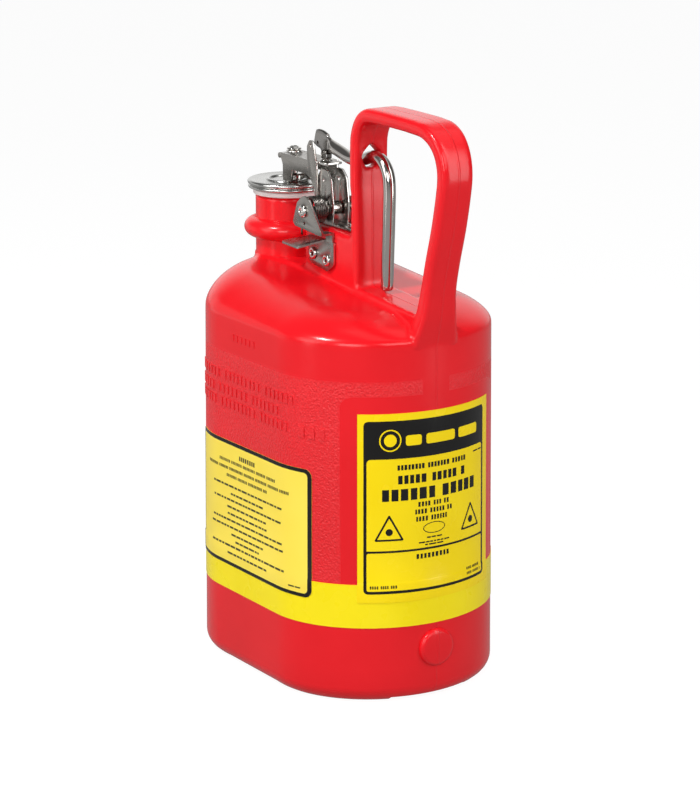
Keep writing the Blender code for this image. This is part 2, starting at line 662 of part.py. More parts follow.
def make_arm(steel):
    """The channel that carries the lid: two flanges about the pin, a top plate, a rolled nose and an upright ear."""
    pin_hole = circle_points(PIN_X, PIN_Z, PIN_R + GAP)
    ear = rounded([(-0.0304, ARM_TOP), (-0.0302, 0.2935), (-0.0276, 0.2972), (-0.0242, 0.2970), (-0.0210, ARM_TOP)],
                  [0, 0.003, 0.002, 0.003, 0])
    ear_hole = circle_points(-0.0263, 0.2940, 0.0010, 8)
    half = ARM_Y + STEEL / 2 - SEAM
    top = [(-0.0600, -half), (-0.0206, -half), (-0.0206, -0.0058), (-0.0140, -0.0058), (-0.0128, -0.0040)]
    top += [(a, -b) for a, b in reversed(top)]
    holes = [circle_points(RIVET_X, 0.0, 0.0023), circle_points(ROD_PIVOT_X, 0.0, 0.0021)]
    top_plate = plate_mesh([top] + holes, STEEL, "XY", ARM_TOP - STEEL / 2 - SEAM)
    arm = add_part("lid_arm", top_plate, steel, LID_HINGE)
    join(arm, plate_mesh([arm_flange_outline(ear), pin_hole, ear_hole], STEEL, "XZ", -ARM_Y))
    join(arm, plate_mesh([arm_flange_outline(), pin_hole], STEEL, "XZ", ARM_Y))
    join(arm, along_y(0.0016, -0.0602, ARM_TOP - 0.0018, -half - 2 * SEAM, half + 2 * SEAM, 12))


def make_lid(steel, rubber, retainer_steel, bright):
    profile = [
        (0.0, 0.2688), (0.0106, 0.2688), (0.0110, 0.2696), (0.0128, 0.2696), (0.0132, 0.2689),
        (0.0212, 0.2691), (0.0226, LID_TOP),
        (LID_R, 0.2686), (LID_R, 0.2676), (LID_R - 0.0008, 0.2672), (LID_R - 0.0008, 0.2666),
        (LID_R - 0.0002, 0.2660), (LID_R - 0.0006, 0.2648), (LID_R - 0.0016, LID_Z), (0.0, LID_Z),
    ]
    cap = add_part("lid_cap", turned_mesh(profile, NECK_X, 0.0, 44), steel, LID_HINGE)
    low, high = GASKET_Z
    gasket = add_part("lid_gasket", along_z(GASKET_R, NECK_X, 0, low, high, 36, 0.0004), rubber, LID_HINGE)
    disc_top = low - GAP
    disc_mesh = along_z(0.0146, NECK_X, 0, disc_top - 0.0010, disc_top, 32)
    retainer = add_part("gasket_retainer", disc_mesh, retainer_steel, LID_HINGE)
    for piece in (cap, gasket, retainer):
        cut(piece, along_z(0.0023, RIVET_X, 0, 0.250, 0.280, 16))
    washer_z = ARM_TOP + GAP
    washer_mesh = along_z(0.0046, RIVET_X, 0, washer_z, washer_z + 0.0010, 24, 0.0003)
    washer = add_part("rivet_washer", washer_mesh, bright, LID_HINGE)
    cut(washer, along_z(0.0023, RIVET_X, 0, 0.28, 0.29, 16))
    head_z = washer_z + 0.0010 + GAP
    tail_z = disc_top - 0.0010 - GAP
    rivet = add_part("lid_rivet", along_z(0.0020, RIVET_X, 0, tail_z - 0.0005, head_z + 0.0005, 16), bright, LID_HINGE)
    join(rivet, along_z(0.0038, RIVET_X, 0, 0.2691, 0.2702, 24))
    join(rivet, along_z(0.0058, RIVET_X, 0, 0.2699, 0.2735, 24, 0.0008))
    join(rivet, along_z(0.0042, RIVET_X, 0, head_z, head_z + 0.0019, 24, 0.0008))
    join(rivet, along_z(0.0038, RIVET_X, 0, tail_z - 0.0010, tail_z, 24, 0.0004))


def make_stud(dark, bright):
    """The stud that stands on the arm, with a slot across its head for the rod's blade."""
    x = ROD_PIVOT_X
    washer_z = ARM_TOP + GAP
    washer = add_part("stud_washer", along_z(0.0037, x, 0, washer_z, washer_z + 0.0008, 24, 0.0002), bright, LID_HINGE)
    cut(washer, along_z(0.0021, x, 0, 0.28, 0.29, 16))
    seat = washer_z + 0.0008 + GAP
    under = ARM_TOP - STEEL - GAP
    stud = add_part("swivel_stud", along_z(0.0018, x, 0, under - 0.0008, seat + 0.0005, 16), dark, LID_HINGE)
    join(stud, along_z(0.0030, x, 0, seat, 0.2916, 20, 0.0003))
    join(stud, along_z(0.0030, x, 0, under - 0.0009, under, 20))
    cut(stud, box_mesh((x - 0.01, -0.0017, 0.2874), (x + 0.01, 0.0017, 0.300)))
    cut(stud, along_y(0.0012, x, ROD_PIVOT_Z, -0.01, 0.01, 12))
    pin = along_y(0.0009, x, ROD_PIVOT_Z, -0.0032, 0.0032, 12)
    add_part("rod_pivot_pin", pin, bright, LID_HINGE)


def make_rod(steel):
    """The trigger: a round rod through the handle, with its end pressed flat into an upright blade."""
    rings = []
    path = smooth_path(ROD_PATH[:-1], 2) + [ROD_PATH[-1]]
    for i, (x, z, half_height, half_width) in enumerate(path):
        x0, z0 = path[max(i - 1, 0)][:2]
        x1, z1 = path[min(i + 1, len(path) - 1)][:2]
        tangent = Vector((x1 - x0, z1 - z0)).normalized()
        power = 0.5 + 0.5 * half_width / ROD_R
        ring = []
        for k in range(14):
            angle = 2 * math.pi * k / 14
            u = half_height * math.copysign(abs(math.cos(angle)) ** power, math.cos(angle))
            v = half_width * math.copysign(abs(math.sin(angle)) ** power, math.sin(angle))
            ring.append((x - tangent.y * u, v, z + tangent.x * u))
        rings.append(ring)
    rod = add_part("trigger_rod", loft_mesh(rings), steel, ROD_PIVOT)
    cut(rod, along_y(0.0012, ROD_PIVOT_X, ROD_PIVOT_Z, -0.0101, 0.0101, 12))
    cut(rod, along_y(0.0010, -0.0285, 0.2951, -0.01, 0.01, 8))


clear_scene()
PARTS = new_collection("safety_gas_can")
CUTTERS = new_collection("cutters")
FRAME = new_empty("can_frame", (BODY_CENTRE_X, 0.0, 0.0))
LID_HINGE = new_empty("lid_hinge_axis", (PIN_X, 0.0, PIN_Z), FRAME)
ROD_PIVOT = new_empty("rod_pivot_axis", (ROD_PIVOT_X - PIN_X, 0.0, ROD_PIVOT_Z - PIN_Z), LID_HINGE)

red = new_material("red_polyethylene", (0.78, 0.012, 0.018), 0.32)
yellow_film = new_material("yellow_film", (0.98, 0.74, 0.02), 0.35)
pale_film = new_material("pale_yellow_film", (0.98, 0.80, 0.22), 0.35)
satin_steel = new_material("satin_stainless", (0.56, 0.54, 0.52), 0.34, 1.0)
polished_steel = new_material("polished_stainless", (0.78, 0.77, 0.75), 0.12, 1.0)
spring_steel = new_material("spring_steel", (0.40, 0.38, 0.36), 0.30, 1.0)
brass_metal = new_material("brass", (0.72, 0.52, 0.24), 0.30, 1.0)
white_rubber = new_material("white_rubber", (0.86, 0.83, 0.80), 0.55)

make_body(red)
make_labels(yellow_film, pale_film)
make_arrester(satin_steel, brass_metal)
make_hinge_plates(satin_steel)
make_plate_rivets(satin_steel)
make_clevis(satin_steel)
make_pin(satin_steel, polished_steel)
make_spring(spring_steel)
make_arm(satin_steel)
make_lid(polished_steel, white_rubber, satin_steel, polished_steel)
make_stud(spring_steel, polished_steel)
make_rod(polished_steel)
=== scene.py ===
"""Looks for an oval one-gallon safety can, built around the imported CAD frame.

Shapes are described in the can's own frame, in metres: Z up from the feet, X along the can with the
neck at -X, and Y across it. OFFSET moves them into the frame that the CAD uses.
"""

import math
import random

import bmesh
import bpy
import numpy as np
from mathutils import Matrix, Vector


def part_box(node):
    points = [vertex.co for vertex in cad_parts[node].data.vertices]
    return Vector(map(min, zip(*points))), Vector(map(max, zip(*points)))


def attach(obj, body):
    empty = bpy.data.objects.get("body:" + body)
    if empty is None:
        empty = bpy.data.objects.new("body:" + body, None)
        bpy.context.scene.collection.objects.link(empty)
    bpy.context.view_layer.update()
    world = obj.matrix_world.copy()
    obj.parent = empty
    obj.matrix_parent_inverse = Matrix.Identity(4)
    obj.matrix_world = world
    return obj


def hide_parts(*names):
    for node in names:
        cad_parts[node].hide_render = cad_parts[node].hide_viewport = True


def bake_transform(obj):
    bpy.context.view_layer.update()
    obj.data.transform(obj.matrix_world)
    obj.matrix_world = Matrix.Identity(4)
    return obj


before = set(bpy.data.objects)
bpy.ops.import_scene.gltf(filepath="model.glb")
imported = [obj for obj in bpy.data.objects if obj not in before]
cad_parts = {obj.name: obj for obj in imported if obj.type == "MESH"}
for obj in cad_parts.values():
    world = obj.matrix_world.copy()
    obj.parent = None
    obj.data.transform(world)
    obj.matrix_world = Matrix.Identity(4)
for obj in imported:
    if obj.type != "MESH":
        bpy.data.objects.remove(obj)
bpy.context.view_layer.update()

# ---------------------------------------------------------------- sizes of the can

BODY_FLAT = 0.0322
END_RX = 0.0603
END_RY = 0.0668
TAPER = 0.09
BASE_RADIUS = 0.009
SHOULDER_Z = 0.2030
SHOULDER_RUN = 0.0295
SHOULDER_RISE = 0.0180
SHOULDER_TILT = 0.088
SHOULDER_POWER = 1.18
WALL = 0.0027
FOOT_HEIGHT = 0.0025
FOOT_INNER_X = 0.028
FOOT_INNER_Y = 0.025
JOIN_Z = 0.178

NECK_X = -0.0626
NECK_R = 0.0190
NECK_BORE_R = 0.0162
NECK_TOP = 0.2608
NECK_RING_Z = 0.2417
NECK_RING_R = 0.0257
NECK_RING_HALF = 0.0057
WEB_LOW = (-0.0275, -0.0112, 0.207)
WEB_HIGH = (0.0230, 0.0112, 0.2505)
SPINE_TOP = 0.2238
SPINE_TILT = 0.068
SPINE_HALF_Y = 0.0110
HANDLE_PATH = (
    (0.0236, 0.2050, 0.0070, 0.0113),
    (0.0236, 0.2500, 0.0068, 0.0113),
    (0.0235, 0.2730, 0.0066, 0.0113),
    (0.0227, 0.2790, 0.0072, 0.0113),
    (0.0226, 0.2990, 0.0074, 0.0113),
    (0.0236, 0.3075, 0.0076, 0.0113),
    (0.0275, 0.3148, 0.0080, 0.0113),
    (0.0335, 0.3188, 0.0080, 0.0113),
    (0.0420, 0.3197, 0.0080, 0.0113),
    (0.0640, 0.3196, 0.0079, 0.0113),
    (0.0840, 0.3189, 0.0080, 0.0112),
    (0.0923, 0.3174, 0.0082, 0.0110),
    (0.0996, 0.3130, 0.0084, 0.0106),
    (0.1046, 0.3058, 0.0084, 0.0102),
    (0.1067, 0.2960, 0.0086, 0.0099),
    (0.1052, 0.2840, 0.0088, 0.0098),
    (0.1012, 0.2660, 0.0088, 0.0098),
    (0.0960, 0.2480, 0.0088, 0.0098),
    (0.0922, 0.2320, 0.0088, 0.0100),
    (0.0900, 0.2180, 0.0094, 0.0114),
    (0.0868, 0.2050, 0.0094, 0.0140),
    (0.0835, 0.1900, 0.0080, 0.0150),
)
ROD_HOLE_Z = (0.2886, 0.3023)
ROD_HOLE_HALF_Y = 0.0064
BOSS_Z = 0.0297
BOSS_R = 0.0108
BOSS_PROUD = 0.0026

BAND_Z = (0.0440, 0.0688)
LAP_STEP = (0.0003, 0.0013)
END_LABEL_Z = (0.0585, 0.1652)
END_LABEL_ANGLE = 40.0
SIDE_LABEL_Z = (0.0588, 0.1320)
SIDE_LABEL_ANGLE = 64.0

PIN_X = -0.0142
PIN_Z = 0.2598
PIN_R = 0.0021
SHEET_STEEL = 0.0012
MM = 0.001
RIVET_X = -0.0560
ROD_R = 0.00355
ROD_PIVOT_X = -0.0212
ROD_PIVOT_Z = 0.2899
BLADE_RELIEF = 0.0005
ROD_PATH = (
    (-0.0315, 0.2978, 0.0047, 0.0013),
    (-0.0296, 0.2973, 0.0054, 0.0013),
    (-0.0250, 0.2966, 0.0059, 0.0013),
    (-0.0210, 0.2948, 0.0064, 0.0013),
    (-0.0172, 0.2944, 0.0045, 0.0015),
    (-0.0135, 0.2941, 0.0037, 0.0030),
    (-0.0080, 0.2931, ROD_R, ROD_R),
    (0.0030, 0.2908, ROD_R, ROD_R),
    (0.0110, 0.2906, ROD_R, ROD_R),
    (0.0190, 0.2924, ROD_R, ROD_R),
    (0.0260, 0.2946, ROD_R, ROD_R),
    (0.0325, 0.2948, ROD_R, ROD_R),
    (0.0382, 0.2924, ROD_R, ROD_R),
    (0.0422, 0.2872, ROD_R, ROD_R),
    (0.0436, 0.2790, ROD_R, ROD_R),
    (0.0432, 0.2620, ROD_R, ROD_R),
    (0.0422, 0.2400, ROD_R, ROD_R),
    (0.0416, 0.2240, ROD_R, ROD_R),
    (0.0416, 0.2232, 0.0032, 0.0032),
    (0.0415, 0.2228, 0.0026, 0.0026),
)

lid_low, lid_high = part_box("lid_cap")
OFFSET = Vector(((lid_low.x + lid_high.x) / 2 - NECK_X, 0.0, 0.0))


# ---------------------------------------------------------------- mesh helpers

def show(obj):
    bpy.context.scene.collection.objects.link(obj)


def to_mesh(bm, name="shape"):
    bmesh.ops.recalc_face_normals(bm, faces=bm.faces)
    mesh = bpy.data.meshes.new(name)
    bm.to_mesh(mesh)
    bm.free()
    return mesh


def loft(rings, closed=False):
    bm = bmesh.new()
    rows = [[bm.verts.new(point) for point in ring] for ring in rings]
    pairs = list(zip(rows, rows[1:]))
    if closed:
        pairs.append((rows[-1], rows[0]))
    count = len(rows[0])
    for lower, upper in pairs:
        for i in range(count):
            j = (i + 1) % count
            bm.faces.new((lower[i], lower[j], upper[j], upper[i]))
    if not closed:
        bm.faces.new(list(reversed(rows[0])))
        bm.faces.new(rows[-1])
    return to_mesh(bm)


def turned(profile, segments=64, closed=False):
    """Turns an (r, z) profile about the Z axis. An open profile starts and ends on the axis."""
    bm = bmesh.new()
    rows = []
    for r, z in profile:
        if r < 1e-6:
            rows.append([bm.verts.new((0.0, 0.0, z))])
            continue
        angles = [2 * math.pi * i / segments for i in range(segments)]
        rows.append([bm.verts.new((r * math.cos(a), r * math.sin(a), z)) for a in angles])
    pairs = list(zip(rows, rows[1:]))
    if closed:
        pairs.append((rows[-1], rows[0]))
    for first, second in pairs:
        for i in range(segments):
            j = (i + 1) % segments
            if len(first) == 1:
                bm.faces.new((first[0], second[j], second[i]))
            elif len(second) == 1:
                bm.faces.new((first[i], first[j], second[0]))
            else:
                bm.faces.new((first[i], first[j], second[j], second[i]))
    return to_mesh(bm)


def moved(mesh, x=0.0, y=0.0, z=0.0):
    mesh.transform(Matrix.Translation((x, y, z)))
    return mesh


def along_y(mesh, x, z):
    """Lays a shape turned about Z along Y, its top towards -Y."""
    mesh.transform(Matrix.Translation((x, 0.0, z)) @ Matrix.Rotation(math.pi / 2, 4, "X"))
    return mesh


def box_mesh(low, high, edge=0.0, segments=3):
    low, high = Vector(low), Vector(high)
    bm = bmesh.new()
    place = Matrix.Translation((low + high) / 2) @ Matrix.Diagonal((*(high - low), 1.0))
    bmesh.ops.create_cube(bm, size=1.0, matrix=place)
    if edge:
        bmesh.ops.bevel(bm, geom=bm.edges[:], offset=edge, segments=segments, affect="EDGES", profile=0.5)
    return to_mesh(bm)


def circle(x, y, radius, count=32, start=0.0, sweep=360.0):
    steps = count if sweep == 360.0 else count - 1
    angles = [math.radians(start + sweep * i / steps) for i in range(count)]
    return [(x + radius * math.cos(a), y + radius * math.sin(a)) for a in angles]


def rounded(points, radius, steps=6):
    """A polygon with each corner replaced by an arc; radius is one number, or one for each corner."""
    radii = radius if isinstance(radius, (list, tuple)) else [radius] * len(points)
    outline = []
    for i, corner in enumerate(points):
        here = Vector(corner)
        before = Vector(points[i - 1]) - here
        after = Vector(points[(i + 1) % len(points)]) - here
        angle = before.angle(after)
        reach = min(radii[i] / math.tan(angle / 2), before.length * 0.49, after.length * 0.49)
        if reach < 0.00002:
            outline.append(tuple(here))
            continue
        size = reach * math.tan(angle / 2)
        start = here + before.normalized() * reach
        end = here + after.normalized() * reach
        centre = here + (before.normalized() + after.normalized()).normalized() * (size / math.sin(angle / 2))
        first, last = start - centre, end - centre
        for k in range(steps + 1):
            spoke = first.slerp(last, k / steps, first).normalized() * first.length
            outline.append(tuple(centre + spoke))
    return outline


def rectangle(x0, z0, x1, z1, radius=0.0, steps=6):
    corners = [(x0, z0), (x1, z0), (x1, z1), (x0, z1)]
    return rounded(corners, radius, steps) if radius else corners


def filled(loops, thickness=0.0):
    """A flat mesh in XY from outlines and their holes."""
    curve = bpy.data.curves.new("outline", "CURVE")
    curve.dimensions = "2D"
    curve.fill_mode = "BOTH" if thickness else "FRONT"
    curve.extrude = thickness / 2
    for loop in loops:
        spline = curve.splines.new("POLY")
        spline.points.add(len(loop) - 1)
        for target, (a, b) in zip(spline.points, loop):
            target.co = (a, b, 0.0, 1.0)
        spline.use_cyclic_u = True
    return evaluated(bpy.data.objects.new("outline", curve))


def evaluated(obj, weld=0.000002):
    """The mesh an object makes with its modifiers or curve settings; the object itself goes."""
    show(obj)
    bpy.context.view_layer.update()
    depsgraph = bpy.context.evaluated_depsgraph_get()
    mesh = bpy.data.meshes.new_from_object(obj.evaluated_get(depsgraph))
    mesh.transform(obj.matrix_world)
    bpy.data.objects.remove(obj, do_unlink=True)
    if weld:
        bm = bmesh.new()
        bm.from_mesh(mesh)
        bmesh.ops.remove_doubles(bm, verts=bm.verts, dist=weld)
        bmesh.ops.recalc_face_normals(bm, faces=bm.faces)
        bm.to_mesh(mesh)
        bm.free()
    mesh.materials.clear()
    return mesh


def wire(points, radius, resolution=5, cyclic=False):
    curve = bpy.data.curves.new("wire", "CURVE")
    curve.dimensions = "3D"
    curve.bevel_depth = radius
    curve.bevel_resolution = resolution
    curve.use_fill_caps = True
    spline = curve.splines.new("POLY")
    spline.points.add(len(points) - 1)
    for target, point in zip(spline.points, points):
        target.co = (*point, 1.0)
    spline.use_cyclic_u = cyclic
    return evaluated(bpy.data.objects.new("wire", curve))


def sliced(bm, place, normal, dist=0.0000005, **settings):
    """Cuts every face along a plane."""
    geometry = bm.verts[:] + bm.edges[:] + bm.faces[:]
    bmesh.ops.bisect_plane(bm, geom=geometry, dist=dist, plane_co=place, plane_no=normal, **settings)


def joined(meshes):
    bm = bmesh.new()
    for mesh in meshes:
        bm.from_mesh(mesh)
    mesh = bpy.data.meshes.new("joined")
    bm.to_mesh(mesh)
    bm.free()
    return mesh


def boolean(mesh, other, operation="DIFFERENCE", solver="MANIFOLD"):
    target = bpy.data.objects.new("target", mesh)
    helper = bpy.data.objects.new("helper", other)
    show(helper)
    modifier = target.modifiers.new("cut", "BOOLEAN")
    modifier.object = helper
    modifier.operation = operation
    modifier.solver = solver
    result = evaluated(target, weld=0.0)
    bpy.data.objects.remove(helper, do_unlink=True)
    return result


def smooth_path(stations, steps):
    """Catmull-Rom points through stations of any number of values, steps to each stretch."""
    last = len(stations) - 1
    path = []
    for i in range(last):
        p0, p1 = stations[max(i - 1, 0)], stations[i]
        p2, p3 = stations[i + 1], stations[min(i + 2, last)]
        for k in range(steps):
            t = k / steps
            weights = (
                (-t + 2 * t * t - t ** 3) / 2,
                (2 - 5 * t * t + 3 * t ** 3) / 2,
                (t + 4 * t * t - 3 * t ** 3) / 2,
                (-t * t + t ** 3) / 2,
            )
            path.append(tuple(sum(w * v for w, v in zip(weights, vals)) for vals in zip(p0, p1, p2, p3)))
    path.append(tuple(stations[last]))
    return path


def piece(name, mesh, body, slot, material, replaces=(), sharp=38.0, bevel=0.0, local=True, second=None,
          chosen=None):
    """One shown piece: smooth shaded, its edges rounded by bevel, riding on a CAD body.

    The faces that chosen(mesh, face) picks take the second material.
    """
    if local:
        mesh.transform(Matrix.Translation(OFFSET))
    mesh.materials.clear()
    mesh.materials.append(material)
    if second:
        mesh.materials.append(second)
        for face in mesh.polygons:
            face.material_index = int(chosen(mesh, face))
    obj = bpy.data.objects.new(name, mesh)
    show(obj)
    if bevel:
        modifier = obj.modifiers.new("edges", "BEVEL")
        modifier.width = bevel
        modifier.segments = 2
        modifier.limit_method = "ANGLE"
        modifier.angle_limit = math.radians(32)
        modifier.use_clamp_overlap = True
        modifier.harden_normals = False
        rounded_mesh = evaluated_copy(obj)
        obj.modifiers.clear()
        obj.data = rounded_mesh
    obj.data.shade_smooth()
    obj.data.set_sharp_from_angle(angle=math.radians(sharp))
    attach(obj, body)
    if replaces:
        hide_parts(*replaces)
    return obj


def finished(node, mesh, body, slot, material, **settings):
    """A piece that replaces one CAD node."""
    return piece(node + "_finished", mesh, body, slot, material, (node,), **settings)


def evaluated_copy(obj):
    bpy.context.view_layer.update()
    depsgraph = bpy.context.evaluated_depsgraph_get()
    return bpy.data.meshes.new_from_object(obj.evaluated_get(depsgraph))


def is_cut_edge(mesh, face):
    """Whether a face is the narrow cut edge of a sheet, across its thickness."""
    points = np.array([mesh.vertices[i].co for i in face.vertices])
    extent = points.max(axis=0) - points.min(axis=0)
    return any(abs(extent[k] - SHEET_STEEL) < 0.00012 and abs(face.normal[k]) < 0.3 for k in (1, 2))


def refined(node, material, slot, body, bevel=0.00026, edge=None):
    """A CAD node's shape with its corners rounded and, if edge is given, its cut edges given that material as
    a painted highlight.
    """
    bm = bmesh.new()
    bm.from_mesh(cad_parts[node].data)
    bmesh.ops.remove_doubles(bm, verts=bm.verts, dist=0.000003)
    bmesh.ops.dissolve_limit(bm, angle_limit=math.radians(1.0), verts=bm.verts, edges=bm.edges)
    return finished(node, to_mesh(bm), body, slot, material, bevel=bevel, local=False,
                 second=edge, chosen=is_cut_edge)


# ---------------------------------------------------------------- materials

class Nodes:
    """Short calls for building a node tree."""

    def __init__(self, name):
        self.material = bpy.data.materials.new(name)
        self.material.use_nodes = True
        self.tree = self.material.node_tree
        self.shader = self.tree.nodes["Principled BSDF"]
        self.coords = self.add("ShaderNodeTexCoord").outputs["Object"]

    def add(self, kind, **settings):
        node = self.tree.nodes.new(kind)
        for key, value in settings.items():
            setattr(node, key, value)
        return node

    def link(self, source, target):
        self.tree.links.new(source, target)

    def value(self, target, source):
        if isinstance(source, (int, float)):
            target.default_value = source
        else:
            self.link(source, target)

    def math(self, operation, first, second=0.0):
        node = self.add("ShaderNodeMath", operation=operation)
        self.value(node.inputs[0], first)
        self.value(node.inputs[1], second)
        return node.outputs[0]

    def step(self, source, low, high, out_low=0.0, out_high=1.0):
        node = self.add("ShaderNodeMapRange", interpolation_type="SMOOTHSTEP")
        self.value(node.inputs["Value"], source)
        for key, number in (("From Min", low), ("From Max", high), ("To Min", out_low), ("To Max", out_high)):
            node.inputs[key].default_value = number
        return node.outputs["Result"]

    def scale(self, source, low, high, out_low, out_high):
        node = self.add("ShaderNodeMapRange")
        self.value(node.inputs["Value"], source)
        for key, number in (("From Min", low), ("From Max", high), ("To Min", out_low), ("To Max", out_high)):
            node.inputs[key].default_value = number
        return node.outputs["Result"]

    def noise(self, scale, detail=2.0, roughness=0.5, stretch=None, coords=None):
        source = coords or self.coords
        if stretch:
            mapping = self.add("ShaderNodeMapping")
            mapping.inputs["Scale"].default_value = stretch
            self.link(source, mapping.inputs["Vector"])
            source = mapping.outputs["Vector"]
        node = self.add("ShaderNodeTexNoise")
        node.inputs["Scale"].default_value = scale
        node.inputs["Detail"].default_value = detail
        node.inputs["Roughness"].default_value = roughness
        self.link(source, node.inputs["Vector"])
        return node.outputs["Fac"]

    def mix(self, factor, first, second):
        node = self.add("ShaderNodeMix", data_type="RGBA")
        self.value(node.inputs["Factor"], factor)
        for socket, colour in ((node.inputs[6], first), (node.inputs[7], second)):
            if isinstance(colour, tuple):
                socket.default_value = (*colour, 1.0)
            else:
                self.link(colour, socket)
        return node.outputs[2]

    def bump(self, height, distance, strength=1.0, normal=None):
        node = self.add("ShaderNodeBump")
        node.inputs["Distance"].default_value = distance
        self.value(node.inputs["Strength"], strength)
        self.link(height, node.inputs["Height"])
        if normal:
            self.link(normal, node.inputs["Normal"])
        return node.outputs["Normal"]

    def finish(self, colour=None, roughness=None, normal=None, **constants):
        for socket, source in (("Base Color", colour), ("Roughness", roughness), ("Normal", normal)):
            if source is None:
                continue
            if isinstance(source, tuple):
                self.shader.inputs[socket].default_value = (*source, 1.0)
            else:
                self.value(self.shader.inputs[socket], source)
        for key, number in constants.items():
            self.shader.inputs[key.replace("_", " ")].default_value = number
        return self.material


def red_plastic():
    """Glossy red polyethylene, stippled on its walls but smooth round the labels and at the parting line."""
    n = Nodes("red_polyethylene_look")
    axes = n.add("ShaderNodeSeparateXYZ")
    n.link(n.coords, axes.inputs[0])
    x, y, z = axes.outputs
    side = n.math("ABSOLUTE", y)
    wall = n.math("MULTIPLY", n.step(z, BAND_Z[1], BAND_Z[1] + 0.001), n.step(z, 0.1812, 0.1842, 1.0, 0.0))
    across = n.math("MAXIMUM", n.math("SUBTRACT", side, 0.0435), 0.0)
    up = n.math("MAXIMUM", n.math("SUBTRACT", z, 0.1685), 0.0)
    reach = n.math("SQRT", n.math("ADD", n.math("MULTIPLY", across, across), n.math("MULTIPLY", up, up)))
    panel = n.math("MULTIPLY", n.step(reach, 0.0055, 0.0068, 1.0, 0.0), n.step(x, 0.03, 0.031))
    end = n.step(n.math("ABSOLUTE", n.math("SUBTRACT", x, OFFSET.x)), 0.055, 0.056)
    seam = n.math("MULTIPLY", n.step(side, 0.0078, 0.0098, 1.0, 0.0), end)
    plain = n.math("MAXIMUM", panel, seam)
    stippled = n.math("MULTIPLY", wall, n.math("SUBTRACT", 1.0, plain))
    grain = n.noise(950.0, 2.0, 0.6)
    cells = n.add("ShaderNodeTexVoronoi", feature="SMOOTH_F1")
    cells.inputs["Scale"].default_value = 820.0
    cells.inputs["Smoothness"].default_value = 0.6
    n.link(n.coords, cells.inputs["Vector"])
    height = n.math("ADD", n.math("MULTIPLY", grain, 0.7), n.math("MULTIPLY", cells.outputs["Distance"], 0.6))
    peel = n.noise(46.0, 2.0, 0.5)
    parting = n.step(side, 0.0003, 0.0008, 1.0, 0.0)
    first = n.bump(parting, 0.00035, 0.55, n.bump(peel, 0.0006, 0.25))
    normal = n.bump(height, 0.00055, stippled, first)
    patches = n.noise(14.0, 3.0, 0.55)
    base = n.mix(n.scale(patches, 0.3, 0.7, 0.0, 1.0), (0.75, 0.0055, 0.011), (0.83, 0.0080, 0.015))
    # Painted sheen: the stippled wall is mixed towards a paler red, standing in for the light its rough
    # surface scatters back.
    stipple_sheen = n.math("MULTIPLY", stippled, n.scale(grain, 0.35, 0.75, 0.02, 0.13))
    colour = n.mix(stipple_sheen, base, (0.90, 0.16, 0.17))
    rough = n.math("ADD", n.scale(patches, 0.3, 0.7, 0.18, 0.24), n.math("MULTIPLY", stippled, 0.15))
    return n.finish(colour, rough, normal, Specular_IOR_Level=0.4)


def film(name, low, high, roughness=0.26):
    """Printed adhesive film: nearly flat, with a faint waviness and uneven gloss."""
    n = Nodes(name)
    patches = n.noise(22.0, 2.0, 0.5)
    waves = n.noise(70.0, 2.0, 0.5)
    colour = n.mix(n.scale(patches, 0.3, 0.7, 0.0, 1.0), low, high)
    rough = n.scale(waves, 0.3, 0.7, roughness, roughness + 0.07)
    return n.finish(colour, rough, n.bump(waves, 0.0004, 0.12), Specular_IOR_Level=0.3)


def metal(name, low, high, rough, stretch=(1.0, 1.0, 1.0), scale=300.0, scratches=0.05, stains=0.8):
    """Steel with fine drawn lines, uneven gloss and a little staining."""
    n = Nodes(name)
    lines = n.noise(scale, 3.0, 0.65, stretch)
    patches = n.noise(120.0, 3.0, 0.6)
    colour = n.mix(n.scale(patches, 0.5 - stains / 2, 0.5 + stains / 2, 0.0, 1.0), low, high)
    gloss = n.math("ADD", n.scale(lines, 0.3, 0.7, -0.04, 0.05),
                   n.scale(patches, 0.3, 0.7, rough - 0.03, rough + 0.05))
    return n.finish(colour, gloss, n.bump(lines, 0.00006, scratches), Metallic=1.0)


def gauze():
    """Fine woven wire: crossing ridges over painted shade, near black where the openings between the wires
    are.
    """
    n = Nodes("wire_gauze_look")
    axes = n.add("ShaderNodeSeparateXYZ")
    n.link(n.coords, axes.inputs[0])
    ridges = [n.math("ABSOLUTE", n.math("SINE", n.math("MULTIPLY", axis, 3600.0))) for axis in axes.outputs]
    level = n.math("MAXIMUM", n.math("MULTIPLY", ridges[0], ridges[1]), ridges[2])
    # Painted shade: the low parts of the pattern are near black, standing in for the shade in the mesh
    # openings.
    colour = n.mix(n.scale(level, 0.3, 0.9, 0.0, 1.0), (0.05, 0.045, 0.04), (0.42, 0.40, 0.37))
    return n.finish(colour, n.scale(level, 0.0, 1.0, 0.5, 0.3), n.bump(level, 0.0003, 0.6), Metallic=1.0)


def rubber():
    n = Nodes("white_rubber_look")
    grain = n.noise(600.0, 2.0, 0.6)
    patches = n.noise(60.0, 2.0, 0.5)
    colour = n.mix(n.scale(patches, 0.3, 0.7, 0.0, 1.0), (0.80, 0.74, 0.72), (0.90, 0.87, 0.85))
    return n.finish(colour, n.scale(grain, 0.3, 0.7, 0.5, 0.65), n.bump(grain, 0.00008, 0.3))


